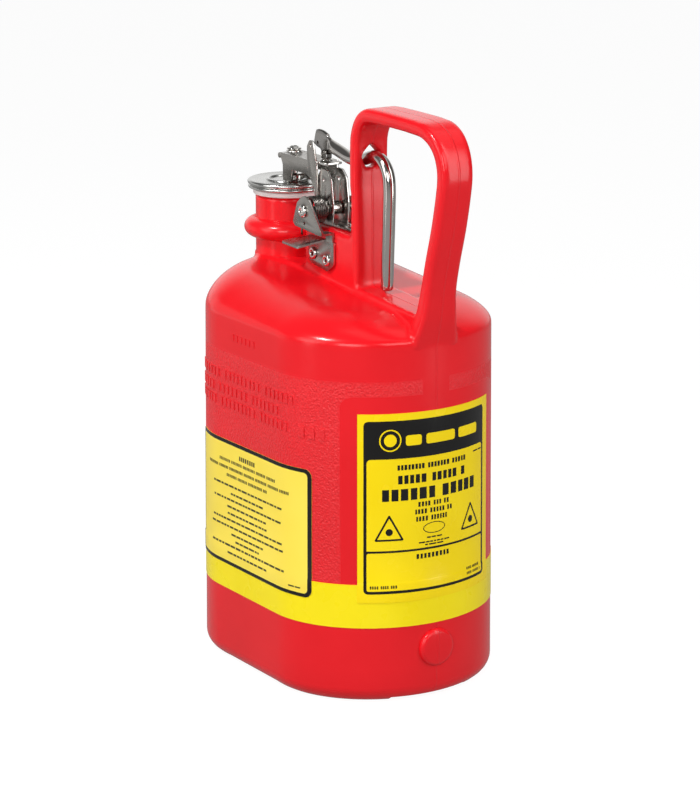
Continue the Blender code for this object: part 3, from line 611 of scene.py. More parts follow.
RED = red_plastic()
BAND = film("band_film_look", (0.95, 0.76, 0.0), (1.0, 0.82, 0.01), 0.24)
YELLOW = film("end_film_look", (0.95, 0.70, 0.0), (1.0, 0.76, 0.006), 0.22)
PALE = film("side_film_look", (0.96, 0.74, 0.075), (1.0, 0.79, 0.10), 0.3)
INK = film("ink_look", (0.006, 0.006, 0.006), (0.011, 0.010, 0.009), 0.2)
GREY_INK = film("fine_ink_look", (0.03, 0.025, 0.012), (0.05, 0.04, 0.018), 0.3)
# Painted shade: the plate steel's colour is kept much darker than the lid's steel, standing in for dark
# reflections.
SHADED_SATIN = metal("satin_stainless_painted_shade_look", (0.33, 0.315, 0.29), (0.40, 0.38, 0.355), 0.27, (1.0, 1.0, 8.0), 600.0)
SATIN_TOP = metal("lid_stainless_look", (0.56, 0.56, 0.54), (0.63, 0.63, 0.61), 0.22, (6.0, 1.0, 1.0), 600.0)
# On the cut edges of sheet parts this bright steel is a painted highlight; on rivets and washers it is their
# polished steel.
POLISHED_AND_EDGE_GLINT = metal("polished_stainless_and_edge_glint_look", (0.66, 0.64, 0.61), (0.74, 0.72, 0.69), 0.12)
ROD = metal("rod_stainless_look", (0.52, 0.49, 0.46), (0.60, 0.57, 0.54), 0.11, (1.0, 1.0, 0.06), 900.0)
# Painted shade: a darker copy of the rod steel for the rod's flattened end.
SHADED_BLADE = metal("blade_painted_shade_look", (0.27, 0.255, 0.24), (0.36, 0.345, 0.33), 0.2)
DARK = metal("spring_steel_look", (0.13, 0.12, 0.11), (0.22, 0.205, 0.19), 0.26)
BRASS = metal("brass_look", (0.62, 0.43, 0.18), (0.72, 0.52, 0.24), 0.25)
RUBBER = rubber()
GAUZE = gauze()


# ---------------------------------------------------------------- the moulded body

def wall_point(flat_x, degrees, outset, z):
    shrink = 1.0 - TAPER * z
    angle = math.radians(degrees)
    x = flat_x + (END_RX + outset) * math.cos(angle)
    return (x * shrink, (END_RY + outset) * math.sin(angle) * shrink, z)


def oval_stations(end_steps, side_steps):
    stations = [(BODY_FLAT, -90 + 180 * i / end_steps) for i in range(end_steps)]
    stations += [(BODY_FLAT * (1 - 2 * i / side_steps), 90) for i in range(side_steps)]
    stations += [(-BODY_FLAT, 90 + 180 * i / end_steps) for i in range(end_steps)]
    stations += [(-BODY_FLAT * (1 - 2 * i / side_steps), 270) for i in range(side_steps)]
    return stations


def shoulder_rings(stations, inset, drop, steps):
    rings = []
    for i in range(steps + 1):
        angle = math.radians(90 * i / steps)
        run = SHOULDER_RUN * (1 - max(math.cos(angle), 0.0) ** SHOULDER_POWER)
        lift = math.sin(angle) ** SHOULDER_POWER
        z = SHOULDER_Z - drop + SHOULDER_RISE * lift
        ring = [wall_point(x, a, -run - inset, z) for x, a in stations]
        rings.append([(x, y, z - SHOULDER_TILT * x * lift) for x, y, z in ring])
    return rings


def neck_profile():
    profile = [(0.0, NECK_TOP), (NECK_R - 0.0006, NECK_TOP), (NECK_R, NECK_TOP - 0.0006)]
    for i in range(25):
        angle = math.radians(90 - 180 * i / 24)
        r = NECK_R + (NECK_RING_R - NECK_R) * math.cos(angle)
        profile.append((r, NECK_RING_Z + NECK_RING_HALF * math.sin(angle)))
    profile += [(NECK_R, 0.2262), (NECK_R + 0.0009, 0.2236), (NECK_R + 0.0026, 0.2206)]
    return profile + [(NECK_R + 0.0030, 0.2100), (0.0, 0.2100)]


def headed(path):
    """Each station of a path with its direction in the XZ plane."""
    for i, station in enumerate(path):
        x0, z0 = path[max(i - 1, 0)][:2]
        x1, z1 = path[min(i + 1, len(path) - 1)][:2]
        yield station, Vector((x1 - x0, z1 - z0)).normalized()


def handle_strap():
    rings = []
    path = smooth_path(HANDLE_PATH, 7)
    for (x, z, thickness, half_width), tangent in headed(path):
        outward = Vector((-tangent.y, tangent.x))
        h = thickness / 2
        section = rounded([(h, -half_width), (h, half_width), (-h, half_width), (-h, -half_width)], 0.0026, 6)
        rings.append([(x + outward.x * u, v, z + outward.y * u) for u, v in section])
    return loft(rings)


def rod_hole():
    low, high = ROD_HOLE_Z
    widest = low + 0.0072
    outline = [(0.0, high), (-ROD_HOLE_HALF_Y, widest), (-0.0034, low), (0.0034, low),
               (ROD_HOLE_HALF_Y, widest)]
    mesh = filled([rounded(outline, [0.0015, 0.002, 0.003, 0.003, 0.002], 6)], 0.012)
    mesh.transform(Matrix(((0, 0, 1, 0.0225), (1, 0, 0, 0), (0, 1, 0, 0), (0, 0, 0, 1))))
    return mesh


def plinth():
    """The raised base of the neck and the web, narrowing to the rib that runs back to the rear leg."""
    start, end, around = NECK_X, 0.0880, NECK_R + 0.0006
    left = [(start + around * math.cos(a),
             around * math.sin(a)) for a in np.radians(np.linspace(270, 90, 33))]
    edge = [(-0.0240, 0.0122), (-0.0100, SPINE_HALF_Y), (end, SPINE_HALF_Y)]
    outline = left + edge + [(x, -y) for x, y in reversed(edge)]
    rings = []
    for level, inset in ((0.205, 0.0), (None, 0.0)):
        ring = []
        for x, y in outline:
            z = level if level else SPINE_TOP - SPINE_TILT * x
            ring.append((x, y, z))
        rings.append(ring)
    return loft(rings)


def relaxed(mesh, even_rounds, crease_rounds, crease_height):
    """Smooths a voxel mesh a little everywhere, and much more along its inside corners, as fillets."""
    count = len(mesh.vertices)
    points = np.empty(count * 3)
    mesh.vertices.foreach_get("co", points)
    points = points.reshape(-1, 3)
    edges = np.empty(len(mesh.edges) * 2, np.int64)
    mesh.edges.foreach_get("vertices", edges)
    a, b = edges.reshape(-1, 2).T
    degree = np.bincount(a, minlength=count) + np.bincount(b, minlength=count)

    def average(values):
        total = np.bincount(a, values[b], count) + np.bincount(b, values[a], count)
        return total / degree

    def pull(p):
        return np.column_stack([average(p[:, k]) for k in range(3)]) - p

    for _ in range(even_rounds):
        points += 0.5 * pull(points)
    mesh.vertices.foreach_set("co", points.ravel())
    mesh.update()
    normals = np.empty(count * 3)
    mesh.vertex_normals.foreach_get("vector", normals)
    normals = normals.reshape(-1, 3)
    inside = np.clip((pull(points) * normals).sum(1) / crease_height - 0.4, 0.0, 1.0)
    for _ in range(5):
        inside = np.minimum(1.0, 1.35 * np.maximum(inside, average(inside)))
    for _ in range(4):
        inside = average(inside)
    near_neck = np.hypot(points[:, 0] - NECK_X, points[:, 1]) < NECK_RING_R + 0.004
    inside *= np.where(near_neck & (points[:, 2] > 0.2225), 0.12, 1.0)
    weight = (0.55 * inside)[:, None]
    for _ in range(crease_rounds):
        points += weight * pull(points)
    return points


def neck_radius(z):
    """The neck's outside radius at a height: a tube with a round swell that meets it in two creases."""
    across = (z - NECK_RING_Z) / NECK_RING_HALF
    return NECK_R + (NECK_RING_R - NECK_R) * math.sqrt(max(1.0 - across * across, 0.0))


def station_of(x, y, z):
    """The wall station nearest to a point, and how far outside the wall it lies."""
    shrink = 1.0 - TAPER * z
    x, y = x / shrink, y / shrink
    if abs(x) <= BODY_FLAT:
        return x, 90.0 if y > 0 else 270.0, abs(y) - END_RY
    flat = math.copysign(BODY_FLAT, x)
    dx = (x - flat) / END_RX
    dy = y / END_RY
    return flat, math.degrees(math.atan2(dy, dx)), (math.hypot(dx, dy) - 1.0) * END_RX


def make_body():
    dense = oval_stations(90, 26)
    dome = loft([[wall_point(x, a, 0.0, z) for x, a in dense] for z in (0.160, 0.175, 0.190)]
                + shoulder_rings(dense, 0.0, 0.0, 26))
    strap = boolean(handle_strap(), rod_hole())
    shapes = [dome, moved(turned(neck_profile(), 120), NECK_X), box_mesh(WEB_LOW, WEB_HIGH, 0.0024), strap,
              plinth()]
    solid = bpy.data.objects.new("solid", joined(shapes))
    remesh = solid.modifiers.new("skin", "REMESH")
    remesh.mode = "VOXEL"
    remesh.voxel_size = 0.00095
    remesh.adaptivity = 0.0
    mesh = evaluated(solid, weld=0.0)
    points = relaxed(mesh, 6, 26, 0.00024)
    for i, (x, y, z) in enumerate(points):
        if 0.2266 < z < NECK_TOP - 0.0012:
            r = math.hypot(x - NECK_X, y)
            exact = neck_radius(z)
            if abs(r - exact) < 0.0022 and x < WEB_LOW[0] - 0.004:
                points[i] = (NECK_X + (x - NECK_X) * exact / r, y * exact / r, z)
        if z > SHOULDER_Z - 0.003:
            continue
        flat, angle, outside = station_of(x, y, z)
        if abs(outside) < 0.0006:
            points[i] = wall_point(flat, angle, 0.0, z)
    mesh.vertices.foreach_set("co", points.ravel())
    bm = bmesh.new()
    bm.from_mesh(mesh)
    sliced(bm, (0, 0, JOIN_Z), (0, 0, 1), 0.00001, clear_inner=True)
    rim = [e for e in bm.edges if e.is_boundary]
    step = {}
    for e in rim:
        for v in e.verts:
            step.setdefault(v, []).append(e.other_vert(v))
    first = rim[0].verts[0]
    ring, previous, here = [first], None, first
    while True:
        following = [v for v in step[here] if v is not previous][0]
        if following is first:
            break
        ring.append(following)
        previous, here = here, following
    stations = [station_of(*v.co)[:2] for v in ring]
    heights = [JOIN_Z - 0.003, 0.160, 0.140, 0.120, 0.100, 0.080, 0.060, 0.040, 0.020]
    rows = [(0.0, z) for z in heights]
    for i in range(9):
        angle = math.radians(90 * i / 8)
        rows.append((-BASE_RADIUS * (1 - math.cos(angle)), BASE_RADIUS * (1 - math.sin(angle))))
    upper = ring
    for outset, z in rows:
        lower = [bm.verts.new(wall_point(x, a, outset, z)) for x, a in stations]
        for i in range(len(ring)):
            j = (i + 1) % len(ring)
            bm.faces.new((upper[i], upper[j], lower[j], lower[i]))
        upper = lower
    bm.faces.new(upper)
    body = to_mesh(bm)
    shrink = 1.0 - TAPER * BOSS_Z
    face = (BODY_FLAT + END_RX) * shrink + BOSS_PROUD
    knob = turned([(0.0, face), (BOSS_R - 0.0022, face), (BOSS_R - 0.0012, face - 0.0003),
                   (BOSS_R - 0.0004, face - 0.001),
                   (BOSS_R, face - 0.002), (BOSS_R + 0.0002, 0.080), (0.0, 0.080)], 72)
    knob.transform(Matrix.Translation((0.0, 0.0, BOSS_Z)) @ Matrix.Rotation(math.pi / 2, 4, "Y"))
    body = boolean(body, knob, "UNION")
    body = boolean(body, box_mesh((-0.12, -FOOT_INNER_Y, -0.01), (0.12, FOOT_INNER_Y, FOOT_HEIGHT)))
    body = boolean(body, box_mesh((-FOOT_INNER_X, -0.09, -0.01), (FOOT_INNER_X, 0.09, FOOT_HEIGHT)))
    inner = oval_stations(28, 6)
    floor = FOOT_HEIGHT + WALL
    rows = [(-WALL - BASE_RADIUS * 0.7, floor), (-WALL - BASE_RADIUS * 0.2, floor + BASE_RADIUS * 0.3)]
    rows.append((-WALL, floor + BASE_RADIUS))
    cavity = loft([[wall_point(x, a, outset, z) for x, a in inner] for outset, z in rows]
                  + shoulder_rings(inner, WALL, WALL, 8))
    body = boolean(body, cavity)
    bore = turned([(0.0, 0.264), (NECK_BORE_R, 0.264), (NECK_BORE_R, 0.200), (0.0, 0.200)], 72)
    body = boolean(body, moved(bore, NECK_X))
    return piece("can_shell", body, "can", "red_polyethylene", RED, ("can_body",), sharp=32.0)


# ---------------------------------------------------------------- labels and their print

def lift_at(z, on, over):
    """How far a film stands off the wall: it laps over the band and comes down just above it."""
    t = min(max((z - BAND_Z[1] - 0.0003) / 0.0010, 0.0), 1.0)
    return over + (on - over) * t


FILM = 0.00022
ON, OVER = 0.00006, 0.00034


def sheet(stations, levels, on, over, thickness):
    rings = []
    for x, a in stations:
        inner = [wall_point(x, a, lift_at(z, on, over), z) for z in levels]
        outer = [wall_point(x, a, lift_at(z, on, over) + thickness, z) for z in levels]
        rings.append(inner + outer[::-1])
    return loft(rings)


def end_place(u, z, side=1):
    """A point of the end wall, u along the wall from its middle."""
    return (BODY_FLAT, u / 0.001138)


def side_place(u, z, side=-1):
    """A point of a side wall, u along it from its middle."""
    if abs(u) <= BODY_FLAT:
        return (u, side * 90.0)
    turn = (abs(u) - BODY_FLAT) / 0.00107
    if u > 0:
        return (BODY_FLAT, side * (90.0 - turn))
    return (-BODY_FLAT, side * (90.0 + turn))


def decal(name, loops, place, side, lift, material, slot, thickness=0.00005, pitch=0.0022, on_wall=None):
    """Outlines in (along the wall, height) laid on the wall as a thin raised layer."""
    mesh = filled(loops)
    bm = bmesh.new()
    bm.from_mesh(mesh)
    low = min(v.co.x for v in bm.verts)
    high = max(v.co.x for v in bm.verts)
    for i in range(1, int((high - low) / pitch) + 1):
        sliced(bm, (low + i * pitch, 0, 0), (1, 0, 0))
    for above in LAP_STEP:
        sliced(bm, (0, BAND_Z[1] + above, 0), (0, 1, 0))
    bottom = {}
    flat = [(v, v.co.copy()) for v in bm.verts]
    faces = bm.faces[:]
    rims = [e for e in bm.edges if len(e.link_faces) == 1]
    top = {}
    for v, co in flat:
        base = (on_wall if on_wall is not None else lift_at(co.y, ON + FILM, OVER + FILM)) + lift
        x, a = place(co.x, co.y, side)
        v.co = wall_point(x, a, base + thickness, co.y)
        bottom[v] = bm.verts.new(wall_point(x, a, base, co.y))
    for f in faces:
        bm.faces.new([bottom[v] for v in reversed(f.verts)])
    for e in rims:
        a, b = e.verts
        bm.faces.new((a, b, bottom[b], bottom[a]))
    return piece(name, to_mesh(bm), "can", slot, material, sharp=40.0)


def block_row(rng, centre, z, width, height, cell, gap=0.3, word=0):
    """A row of upright blocks in place of capitals; word is about how many stand together."""
    centre, z, width, height, cell = (v * MM for v in (centre, z, width, height, cell))
    loops = []
    x = centre - width / 2
    run = word
    while x < centre + width / 2 - cell * 0.6:
        if word and run == 0:
            x += cell * 0.7
            run = max(2, word + rng.randint(-1, 2))
            continue
        size = cell * rng.uniform(0.85, 1.15)
        loops.append(rectangle(x, z - height / 2, x + size * (1 - gap), z + height / 2))
        x += size
        run -= 1
    return loops


def line_row(rng, centre, z, width, height, longest=6.0):
    """A row of short bars in place of fine print."""
    centre, z, width, height = (v * MM for v in (centre, z, width, height))
    loops = []
    x = centre - width / 2
    while x < centre + width / 2 - height:
        size = min(height * rng.uniform(1.6, longest), centre + width / 2 - x)
        loops.append(rectangle(x, z - height / 2, x + size, z + height / 2))
        x += size + height * rng.uniform(0.55, 0.9)
    return loops


def ring_loops(x, z, radius, width, count=40):
    x, z, radius, width = (v * MM for v in (x, z, radius, width))
    return [circle(x, z, radius, count), circle(x, z, radius - width, count)]


def triangle_loops(x, z, half, rise, width):
    x, z, half, rise, width = (v * MM for v in (x, z, half, rise, width))
    outer = [(x - half, z), (x + half, z), (x, z + rise)]
    inset = 1.0 - width * (half + math.hypot(half, rise)) / (half * rise) * 1.0
    centre_z = z + rise * half / (half + math.hypot(half, rise))
    inner = [(x + (px - x) * inset, centre_z + (pz - centre_z) * inset) for px, pz in outer]
    return [rounded(outer, 0.0006, 4), rounded(inner, 0.0002, 3)]


def make_labels():
    band_stations = oval_stations(80, 16)
    levels = [BAND_Z[0], BAND_Z[0] + 0.0002, (BAND_Z[0] + BAND_Z[1]) / 2, BAND_Z[1] - 0.0002, BAND_Z[1]]
    inner = [[wall_point(x, a, 0.00003, z) for x, a in band_stations] for z in levels]
    outer = [[wall_point(x, a, 0.00028, z) for x, a in band_stations] for z in levels]
    piece("band_film", loft(inner + outer[::-1], closed=True), "can", "yellow_band", BAND,
          ("reflective_band",))
    levels = [END_LABEL_Z[0], BAND_Z[1] + 0.0003, BAND_Z[1] + 0.0008, BAND_Z[1] + 0.0013]
    levels += [0.085, 0.105, 0.125, 0.145, END_LABEL_Z[1]]
    stations = [(BODY_FLAT, END_LABEL_ANGLE * (2 * i / 56 - 1)) for i in range(57)]
    piece("end_film", sheet(stations, levels, ON, OVER, FILM), "can", "end_label_film", YELLOW,
          ("end_label",))
    rng = random.Random(7)
    black = [rectangle(-42.1 * MM, 63.6 * MM, 39.4 * MM, 161.2 * MM, 2.6 * MM, 8)]
    black += [rounded([(-40.4 * MM, 65.2 * MM), (37.7 * MM, 65.2 * MM), (37.7 * MM, 86.9 * MM),
                       (-40.4 * MM, 86.9 * MM)], 1.2 * MM)]
    black += [rounded([(-40.4 * MM, 88.1 * MM), (37.7 * MM, 88.1 * MM), (37.7 * MM, 139.9 * MM),
                       (-40.4 * MM, 139.9 * MM)],
                      [0.0, 0.0, 2.2 * MM, 2.2 * MM])]
    decal("end_print_frame", black, end_place, 1, 0.00002, INK, "end_label_film")
    text = block_row(rng, -1.1, 134.8, 44.4, 2.9, 2.15, 0.34, 8)
    text += block_row(rng, -1.1, 127.9, 43.6, 4.8, 3.7, 0.3, 5)
    text += block_row(rng, -0.8, 119.4, 62.0, 6.6, 5.2, 0.27, 6)
    for z, width in ((113.1, 20.0), (109.0, 23.6), (104.8, 22.4)):
        text += block_row(rng, -1.3, z, width, 2.7, 1.9, 0.4, 4)
    text += block_row(rng, -1.2, 83.5, 22.2, 2.8, 2.4, 0.4)
    for z, width in ((93.7, 9.5), (91.2, 19.4), (89.7, 12.0)):
        text += line_row(rng, -1.2, z, width, 0.8)
    text += line_row(rng, 32.6, 136.5, 8.6, 0.8)
    text += block_row(rng, -31.0, 67.4, 15.0, 1.7, 1.3, 0.4, 4)
    for z in (70.3, 67.5):
        text += block_row(rng, 29.4, z, 14.0, 1.5, 1.2, 0.4, 4)
    text += triangle_loops(-27.9, 93.6, 8.4, 15.2, 1.05)
    text += triangle_loops(25.6, 93.4, 8.4, 15.2, 1.05)
    text += [circle(-27.9 * MM, 98.6 * MM, 2.0 * MM, 24), circle(25.6 * MM, 98.4 * MM, 2.0 * MM, 24)]
    oval = [(-1.4 * MM + 7.0 * MM * math.cos(a),
             99.0 * MM + 3.2 * MM * math.sin(a)) for a in np.radians(range(0, 360, 9))]
    text += [oval, [(-1.4 * MM + (x + 1.4 * MM) * 0.93, 99.0 * MM + (z - 99.0 * MM) * 0.86) for x, z in oval]]
    decal("end_print_marks", text, end_place, 1, 0.00002, INK, "end_label_film")
    bright = ring_loops(-27.3, 150.3, 6.2, 0.75) + [circle(-27.3 * MM, 150.3 * MM, 3.5 * MM, 32)]
    for x0, x1 in ((-18.6, -9.4), (-6.6, 12.4), (15.2, 31.4)):
        bright.append(rectangle(x0 * MM, 146.9 * MM, x1 * MM, 152.7 * MM, 1.4 * MM, 5))
    decal("end_print_header", bright, end_place, 1, 0.00008, YELLOW, "end_label_film")

    half = BODY_FLAT + (90 - SIDE_LABEL_ANGLE) * 0.00107
    for tag, side in (("near", -1), ("far", 1)):
        outline = rectangle(-half, SIDE_LABEL_Z[0], half, SIDE_LABEL_Z[1], 4.5 * MM, 8)
        decal("side_film_" + tag, [outline], side_place, side, -FILM, PALE, "side_label_film",
              thickness=FILM, pitch=0.003)
        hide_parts("side_label_" + tag)
        inner = rectangle(-half + 2.7 * MM, SIDE_LABEL_Z[0] + 2.0 * MM, half - 2.7 * MM,
                          SIDE_LABEL_Z[1] - 2.2 * MM, 2.6 * MM, 7)
        decal("side_print_frame_" + tag, [outline, inner], side_place, side, 0.00002, INK,
              "side_label_film", pitch=0.003)
        rows = block_row(rng, 0.0, 124.0, 17.0, 2.6, 2.2, 0.36)
        for z, width in ((120.0, 61.0), (115.8, 88.0), (111.6, 45.0)):
            rows += block_row(rng, 0.0, z, width, 1.7, 1.5, 0.36, 8)
        for z, width in ((105.6, 75.0), (101.2, 36.0), (97.4, 74.0), (93.2, 44.0), (89.2, 43.0),
                         (85.4, 76.0), (81.4, 79.0),
                         (77.3, 35.0), (73.7, 26.0), (70.2, 79.0), (66.0, 43.0)):
            rows += line_row(rng, 0.0, z, width, 1.15, 5.0)
        rows += line_row(rng, 48.0, 63.6, 9.0, 0.8)
        decal("side_print_rows_" + tag, rows, side_place, side, 0.00002, GREY_INK, "side_label_film")


def make_raised_marks():
    """Rows of raised dashes moulded in the near wall above its label."""
    rng = random.Random(11)
    rows = block_row(rng, -6.0, 169.4, 112.0, 4.9, 4.6, 0.4, 7)
    rows += block_row(rng, -12.0, 161.0, 102.0, 4.9, 4.6, 0.4, 6)
    rows += block_row(rng, -8.0, 153.4, 112.0, 4.9, 4.6, 0.4, 7)
    rows += block_row(rng, 60.0, 152.6, 18.0, 6.4, 6.0, 0.4)
    decal("raised_marks", rows, side_place, -1, 0.0, RED, "red_polyethylene", thickness=0.00055,
          on_wall=-0.0001)
    small = block_row(rng, -2.0, 192.6, 29.0, 3.6, 4.4, 0.5)
    decal("raised_marks_small", small, side_place, -1, 0.0, RED, "red_polyethylene", thickness=0.0004,
          on_wall=-0.0001)


# ---------------------------------------------------------------- lid and hardware

def make_lid():
    profile = [(0.0, 0.2688), (0.0104, 0.2688), (0.0107, 0.26885), (0.0109, 0.2692), (0.0111, 0.2696),
               (0.0114, 0.2698)]
    profile += [(0.0124, 0.2698), (0.0128, 0.2696), (0.0130, 0.2692), (0.0132, 0.2689), (0.0136, 0.26885),
                (0.0205, 0.2691)]
    profile += [(0.0216, 0.2694), (0.0224, 0.2694)]
    for i in range(9):
        a = math.radians(70 - 140 * i / 8)
        profile.append((0.02235 + 0.00125 * math.cos(a), 0.26805 + 0.00125 * math.sin(a)))
    profile += [(0.0224, 0.2667), (0.0226, 0.2664)]
    for i in range(7):
        a = math.radians(60 - 120 * i / 6)
        profile.append((0.0222 + 0.0011 * math.cos(a), 0.2655 + 0.0010 * math.sin(a)))
    profile += [(0.0216, 0.2643), (0.0, 0.2643)]
    finished("lid_cap", moved(turned(profile, 128), NECK_X), "lid", "lid_steel", SATIN_TOP, sharp=50.0)
    ring = [(0.0, 0.2639), (0.0199, 0.2639), (0.0203, 0.2635), (0.0204, 0.2625), (0.0203, 0.2615),
            (0.0199, 0.2611), (0.0, 0.2611)]
    finished("lid_gasket", moved(turned(ring, 96), NECK_X), "lid", "white_rubber", RUBBER)
    head = [(0.0, 0.2880), (0.0009, 0.2880), (0.0013, 0.2883), (0.0016, 0.2888), (0.0020, 0.2891),
            (0.0025, 0.2889)]
    head += [(0.0028, 0.2884), (0.0034, 0.2883), (0.0041, 0.28805), (0.0043, 0.2877), (0.0041, 0.2874),
             (0.0034, 0.28715)]
    head += [(0.0020, 0.2870), (0.0020, 0.2737), (0.0048, 0.2735), (0.0055, 0.2731), (0.0058, 0.2724),
             (0.0058, 0.2706)]
    head += [(0.0054, 0.2700), (0.0038, 0.2699), (0.0038, 0.2691), (0.0020, 0.2691), (0.0020, 0.2600)]
    head += [(0.0036, 0.2595), (0.0038, 0.2590), (0.0034, 0.2586), (0.0, 0.2586)]
    finished("lid_rivet", moved(turned(head, 48), RIVET_X), "lid", "polished_steel", POLISHED_AND_EDGE_GLINT, sharp=50.0)
    for node, x, z, rim, high in (("rivet_washer", RIVET_X, 0.2859, 0.0046, 0.0010),
                                  ("stud_washer", ROD_PIVOT_X, 0.2859, 0.0037, 0.0008)):
        low, top = z, z + high
        washer = [(0.0024, low), (0.0024, top), (rim - 0.0006, top), (rim - 0.0001, top - 0.0003)]
        washer += [(rim, low + 0.0003), (rim - 0.0003, low)]
        finished(node, moved(turned(washer, 48, closed=True), x), "lid", "polished_steel", POLISHED_AND_EDGE_GLINT)


def make_rivets():
    seat = 0.0122 + 0.0006 + 0.0002
    half = [(0.0014, seat + 0.0002), (0.0015, seat + 0.0007), (0.0019, seat + 0.0010),
            (0.0026, seat + 0.0010)]
    half += [(0.0032, seat + 0.0007), (0.0035, seat + 0.0003), (0.0035, seat), (0.0022, seat)]
    profile = half + [(r, -t) for r, t in reversed(half)]
    for node, (x, z) in (("plate_rivet_front", (-0.0150, 0.2349)), ("plate_rivet_rear", (-0.0007, 0.2331))):
        mesh = along_y(turned(profile, 40, closed=True), x, z)
        finished(node, mesh, "can", "rivet_steel", POLISHED_AND_EDGE_GLINT, sharp=50.0)
    near, far = 0.0194 + 0.0006 + 0.0002, -(0.0122 + 0.0006 + 0.0003)
    profile = [(0.0, near - 0.0002), (0.0010, near - 0.0002), (0.0013, near + 0.0002),
               (0.0015, near + 0.0009)]
    profile += [(0.0019, near + 0.0014), (0.0025, near + 0.0014), (0.0033, near + 0.0010),
                (0.0037, near + 0.0004)]
    profile += [(0.0037, near), (PIN_R, near), (PIN_R, far), (0.0034, far), (0.0034, far - 0.0008),
                (0.0029, far - 0.0013)]
    profile += [(0.0, far - 0.0013)]
    finished("hinge_pin", along_y(turned(profile, 40), PIN_X, PIN_Z), "can", "rivet_steel", POLISHED_AND_EDGE_GLINT,
             sharp=50.0)
    bore = PIN_R + 0.0003
    sleeve = [(bore, 0.0040), (0.0034, 0.0040), (0.0039, 0.0036), (0.0040, 0.0031), (0.0040, 0.0012),
              (0.0034, 0.0008)]
    sleeve += [(0.0034, -0.0008), (0.0040, -0.0012), (0.0040, -0.0031), (0.0039, -0.0036),
               (0.0034, -0.0040), (bore, -0.0040)]
    finished("pin_collar", along_y(turned(sleeve, 40, closed=True), PIN_X, PIN_Z), "can", "polished_steel",
             POLISHED_AND_EDGE_GLINT, sharp=50.0)


def make_spring():
    """A torsion spring whose coil winds between the shelf and the arm."""
    steps, turns, radius, wire_r = 40, 6.5, 0.0074, 0.00056
    first, last = -0.0162, -0.0088
    coil = []
    total = int(turns * steps)
    for i in range(total + 1):
        angle = math.pi + 2 * math.pi * i / steps
        coil.append((PIN_X + radius * math.cos(angle), first + (last - first) * i / total,
                     PIN_Z + radius * math.sin(angle)))
    shelf_leg = [(PIN_X - radius, first, 0.2449), (PIN_X - radius, first, 0.2480),
                 (PIN_X - radius, first, 0.2540)]
    x, y, z = coil[-1]
    arm_leg = [(x, y, z + 0.0025), (x, y, z + 0.0050)]
    mesh = wire(shelf_leg + coil + arm_leg, wire_r, 4)
    mesh.transform(Matrix.Translation(OFFSET))
    mesh.materials.append(DARK)
    obj = bpy.data.objects.new("torsion_spring_finished", mesh)
    show(obj)
    mesh.shade_smooth()
    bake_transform(obj)
    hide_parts("torsion_spring")


def make_rod():
    rings = []
    path = smooth_path(ROD_PATH[:-2], 8) + list(ROD_PATH[-2:])
    for (x, z, half_height, half_width), tangent in headed(path):
        relief = BLADE_RELIEF / 2 * min(max((0.0030 - half_width) / 0.0015, 0.0), 1.0)
        z, half_height = z + relief, half_height - relief
        power = 0.5 + 0.5 * half_width / max(half_height, half_width)
        ring = []
        for k in range(40):
            angle = 2 * math.pi * k / 40
            u = half_height * math.copysign(abs(math.cos(angle)) ** power, math.cos(angle))
            v = half_width * math.copysign(abs(math.sin(angle)) ** power, math.sin(angle))
            ring.append((x - tangent.y * u, v, z + tangent.x * u))
        rings.append(ring)
    mesh = loft(rings)
    for radius, x, z in ((0.0011, ROD_PIVOT_X, ROD_PIVOT_Z), (0.0010, -0.0285, 0.2951)):
        mesh = boolean(mesh, along_y(turned([(0.0, 0.01), (radius, 0.01), (radius, -0.01), (0.0, -0.01)],
                                            24), x, z))
    # The flattened end takes the darker steel as painted shade.
    blade_end = OFFSET.x + ROD_PIVOT_X + 0.0030
    finished("trigger_rod", mesh, "rod", "rod_steel", ROD, sharp=45.0,
          second=SHADED_BLADE, chosen=lambda shape, face: face.center.x < blade_end)


make_body()
make_labels()
make_raised_marks()
make_lid()
make_rivets()
make_spring()
make_rod()
# Painted highlight: the cut edges of these sheet parts take the bright steel.
refined("hinge_plate_near", SHADED_SATIN, "plate_steel", "can", edge=POLISHED_AND_EDGE_GLINT)
refined("hinge_plate_far", SHADED_SATIN, "plate_steel", "can", edge=POLISHED_AND_EDGE_GLINT)
refined("hinge_clevis", SHADED_SATIN, "plate_steel", "can", edge=POLISHED_AND_EDGE_GLINT)
refined("lid_arm", SHADED_SATIN, "plate_steel", "lid", edge=POLISHED_AND_EDGE_GLINT)
refined("swivel_stud", DARK, "stud_steel", "lid", 0.00012)
refined("clevis_rivet", POLISHED_AND_EDGE_GLINT, "rivet_steel", "can", 0.0001)
for node, material in (("rod_pivot_pin", POLISHED_AND_EDGE_GLINT), ("gasket_retainer", SHADED_SATIN), ("flame_arrester", GAUZE),
                       ("arrester_collar", BRASS)):
    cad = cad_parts[node]
    cad.data.materials.clear()
    cad.data.materials.append(material)


# ---------------------------------------------------------------- stage, light and camera

def stage_floor():
    """A wide white sheet. It shows white, and throws less light back at the can than it shows."""
    bm = bmesh.new()
    bm.faces.new([bm.verts.new((x, y, 0.0)) for x, y in ((-6.0, -6.0), (6.0, -6.0), (6.0, 6.0), (-6.0, 6.0))])
    floor = bpy.data.objects.new("floor", to_mesh(bm))
    show(floor)
    n = Nodes("floor_look")
    tone = n.noise(1.5, 2.0, 0.5)
    n.shader.inputs["Emission Color"].default_value = (1.0, 1.0, 1.0, 1.0)
    seen = n.add("ShaderNodeLightPath").outputs["Is Camera Ray"]
    n.link(n.scale(seen, 0.0, 1.0, FLOOR_GLOW, FLOOR_SHOWN), n.shader.inputs["Emission Strength"])
    look = n.finish(n.mix(tone, (0.12, 0.12, 0.12), (0.13, 0.13, 0.13)), 0.9, Specular_IOR_Level=0.0)
    floor.data.materials.append(look)


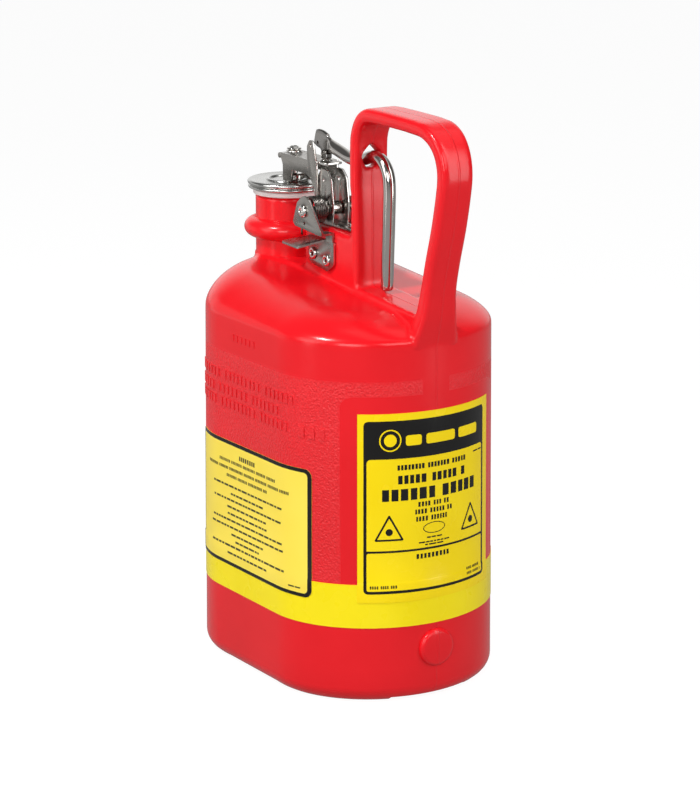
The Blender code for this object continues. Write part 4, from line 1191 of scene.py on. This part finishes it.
def area_light(name, location, size, power, size_y):
    data = bpy.data.lights.new(name, "AREA")
    data.shape = "RECTANGLE"
    data.size = size
    data.size_y = size_y
    data.energy = power
    obj = bpy.data.objects.new(name, data)
    obj.location = location
    obj.rotation_euler = (Vector(AIM) - Vector(location)).to_track_quat("-Z", "Y").to_euler()
    show(obj)


FLOOR_SHOWN = 0.94
FLOOR_GLOW = 0.26
stage_floor()
AIM = (0.0, 0.0, 0.16)
for light in (
    # name, place, width, power, height
    ("key_box", (0.02, -0.80, 1.20), 0.12, 9.0, 0.12),
    ("top_box", (0.1, 0.5, 1.7), 1.2, 2.6, 1.2),
    ("near_box", (-0.1, -1.7, 0.9), 1.0, 6.5, 1.0),
    ("front_box", (1.7, -0.1, 1.1), 0.8, 8.0, 0.8),
    ("eye_box", (1.15, -1.30, 0.75), 0.7, 9.0, 0.7),
    ("left_card", (-1.10, -0.72, 0.15), 1.0, 1.5, 1.0),
    ("left_strip", (-0.05, -1.2, 0.2), 0.25, 1.5, 1.2),
    ("right_strip", (1.04, 0.60, 0.6), 0.32, 8.0, 2.0),
):
    area_light(*light)


def make_world():
    """A white backdrop all round. The light it gives is strong behind the can and soft elsewhere."""
    world = bpy.data.worlds.new("studio")
    bpy.context.scene.world = world
    world.use_nodes = True
    tree = world.node_tree
    background = tree.nodes["Background"]
    coords = tree.nodes.new("ShaderNodeTexCoord")
    behind = tree.nodes.new("ShaderNodeVectorMath")
    behind.operation = "DOT_PRODUCT"
    behind.inputs[1].default_value = (-0.843, 0.537, 0.0)
    ramp = tree.nodes.new("ShaderNodeMapRange")
    ramp.interpolation_type = "SMOOTHSTEP"
    for key, number in (("From Min", 0.55), ("From Max", 0.96), ("To Min", 0.12), ("To Max", 1.0)):
        ramp.inputs[key].default_value = number
    tree.links.new(coords.outputs["Generated"], behind.inputs[0])
    tree.links.new(behind.outputs["Value"], ramp.inputs["Value"])
    shown = tree.nodes.new("ShaderNodeMath")
    shown.operation = "MAXIMUM"
    tree.links.new(ramp.outputs["Result"], shown.inputs[0])
    tree.links.new(tree.nodes.new("ShaderNodeLightPath").outputs["Is Camera Ray"], shown.inputs[1])
    tree.links.new(shown.outputs["Value"], background.inputs["Strength"])
    background.inputs["Color"].default_value = (1.0, 1.0, 1.0, 1.0)


make_world()
bpy.context.scene.view_settings.view_transform = "Standard"

camera_data = bpy.data.cameras.new("camera")
camera_data.lens = 135.0
camera_data.sensor_width = 36.0
camera = bpy.data.objects.new("camera", camera_data)
show(camera)
eye = Vector((1.3966, -0.8876, 0.5751)) + OFFSET
look_at = Vector((0.0035, 0.0, 0.1515)) + OFFSET
camera.location = eye
camera.rotation_euler = (look_at - eye).to_track_quat("-Z", "Y").to_euler()
bpy.context.scene.camera = camera

bpy.context.view_layer.update()
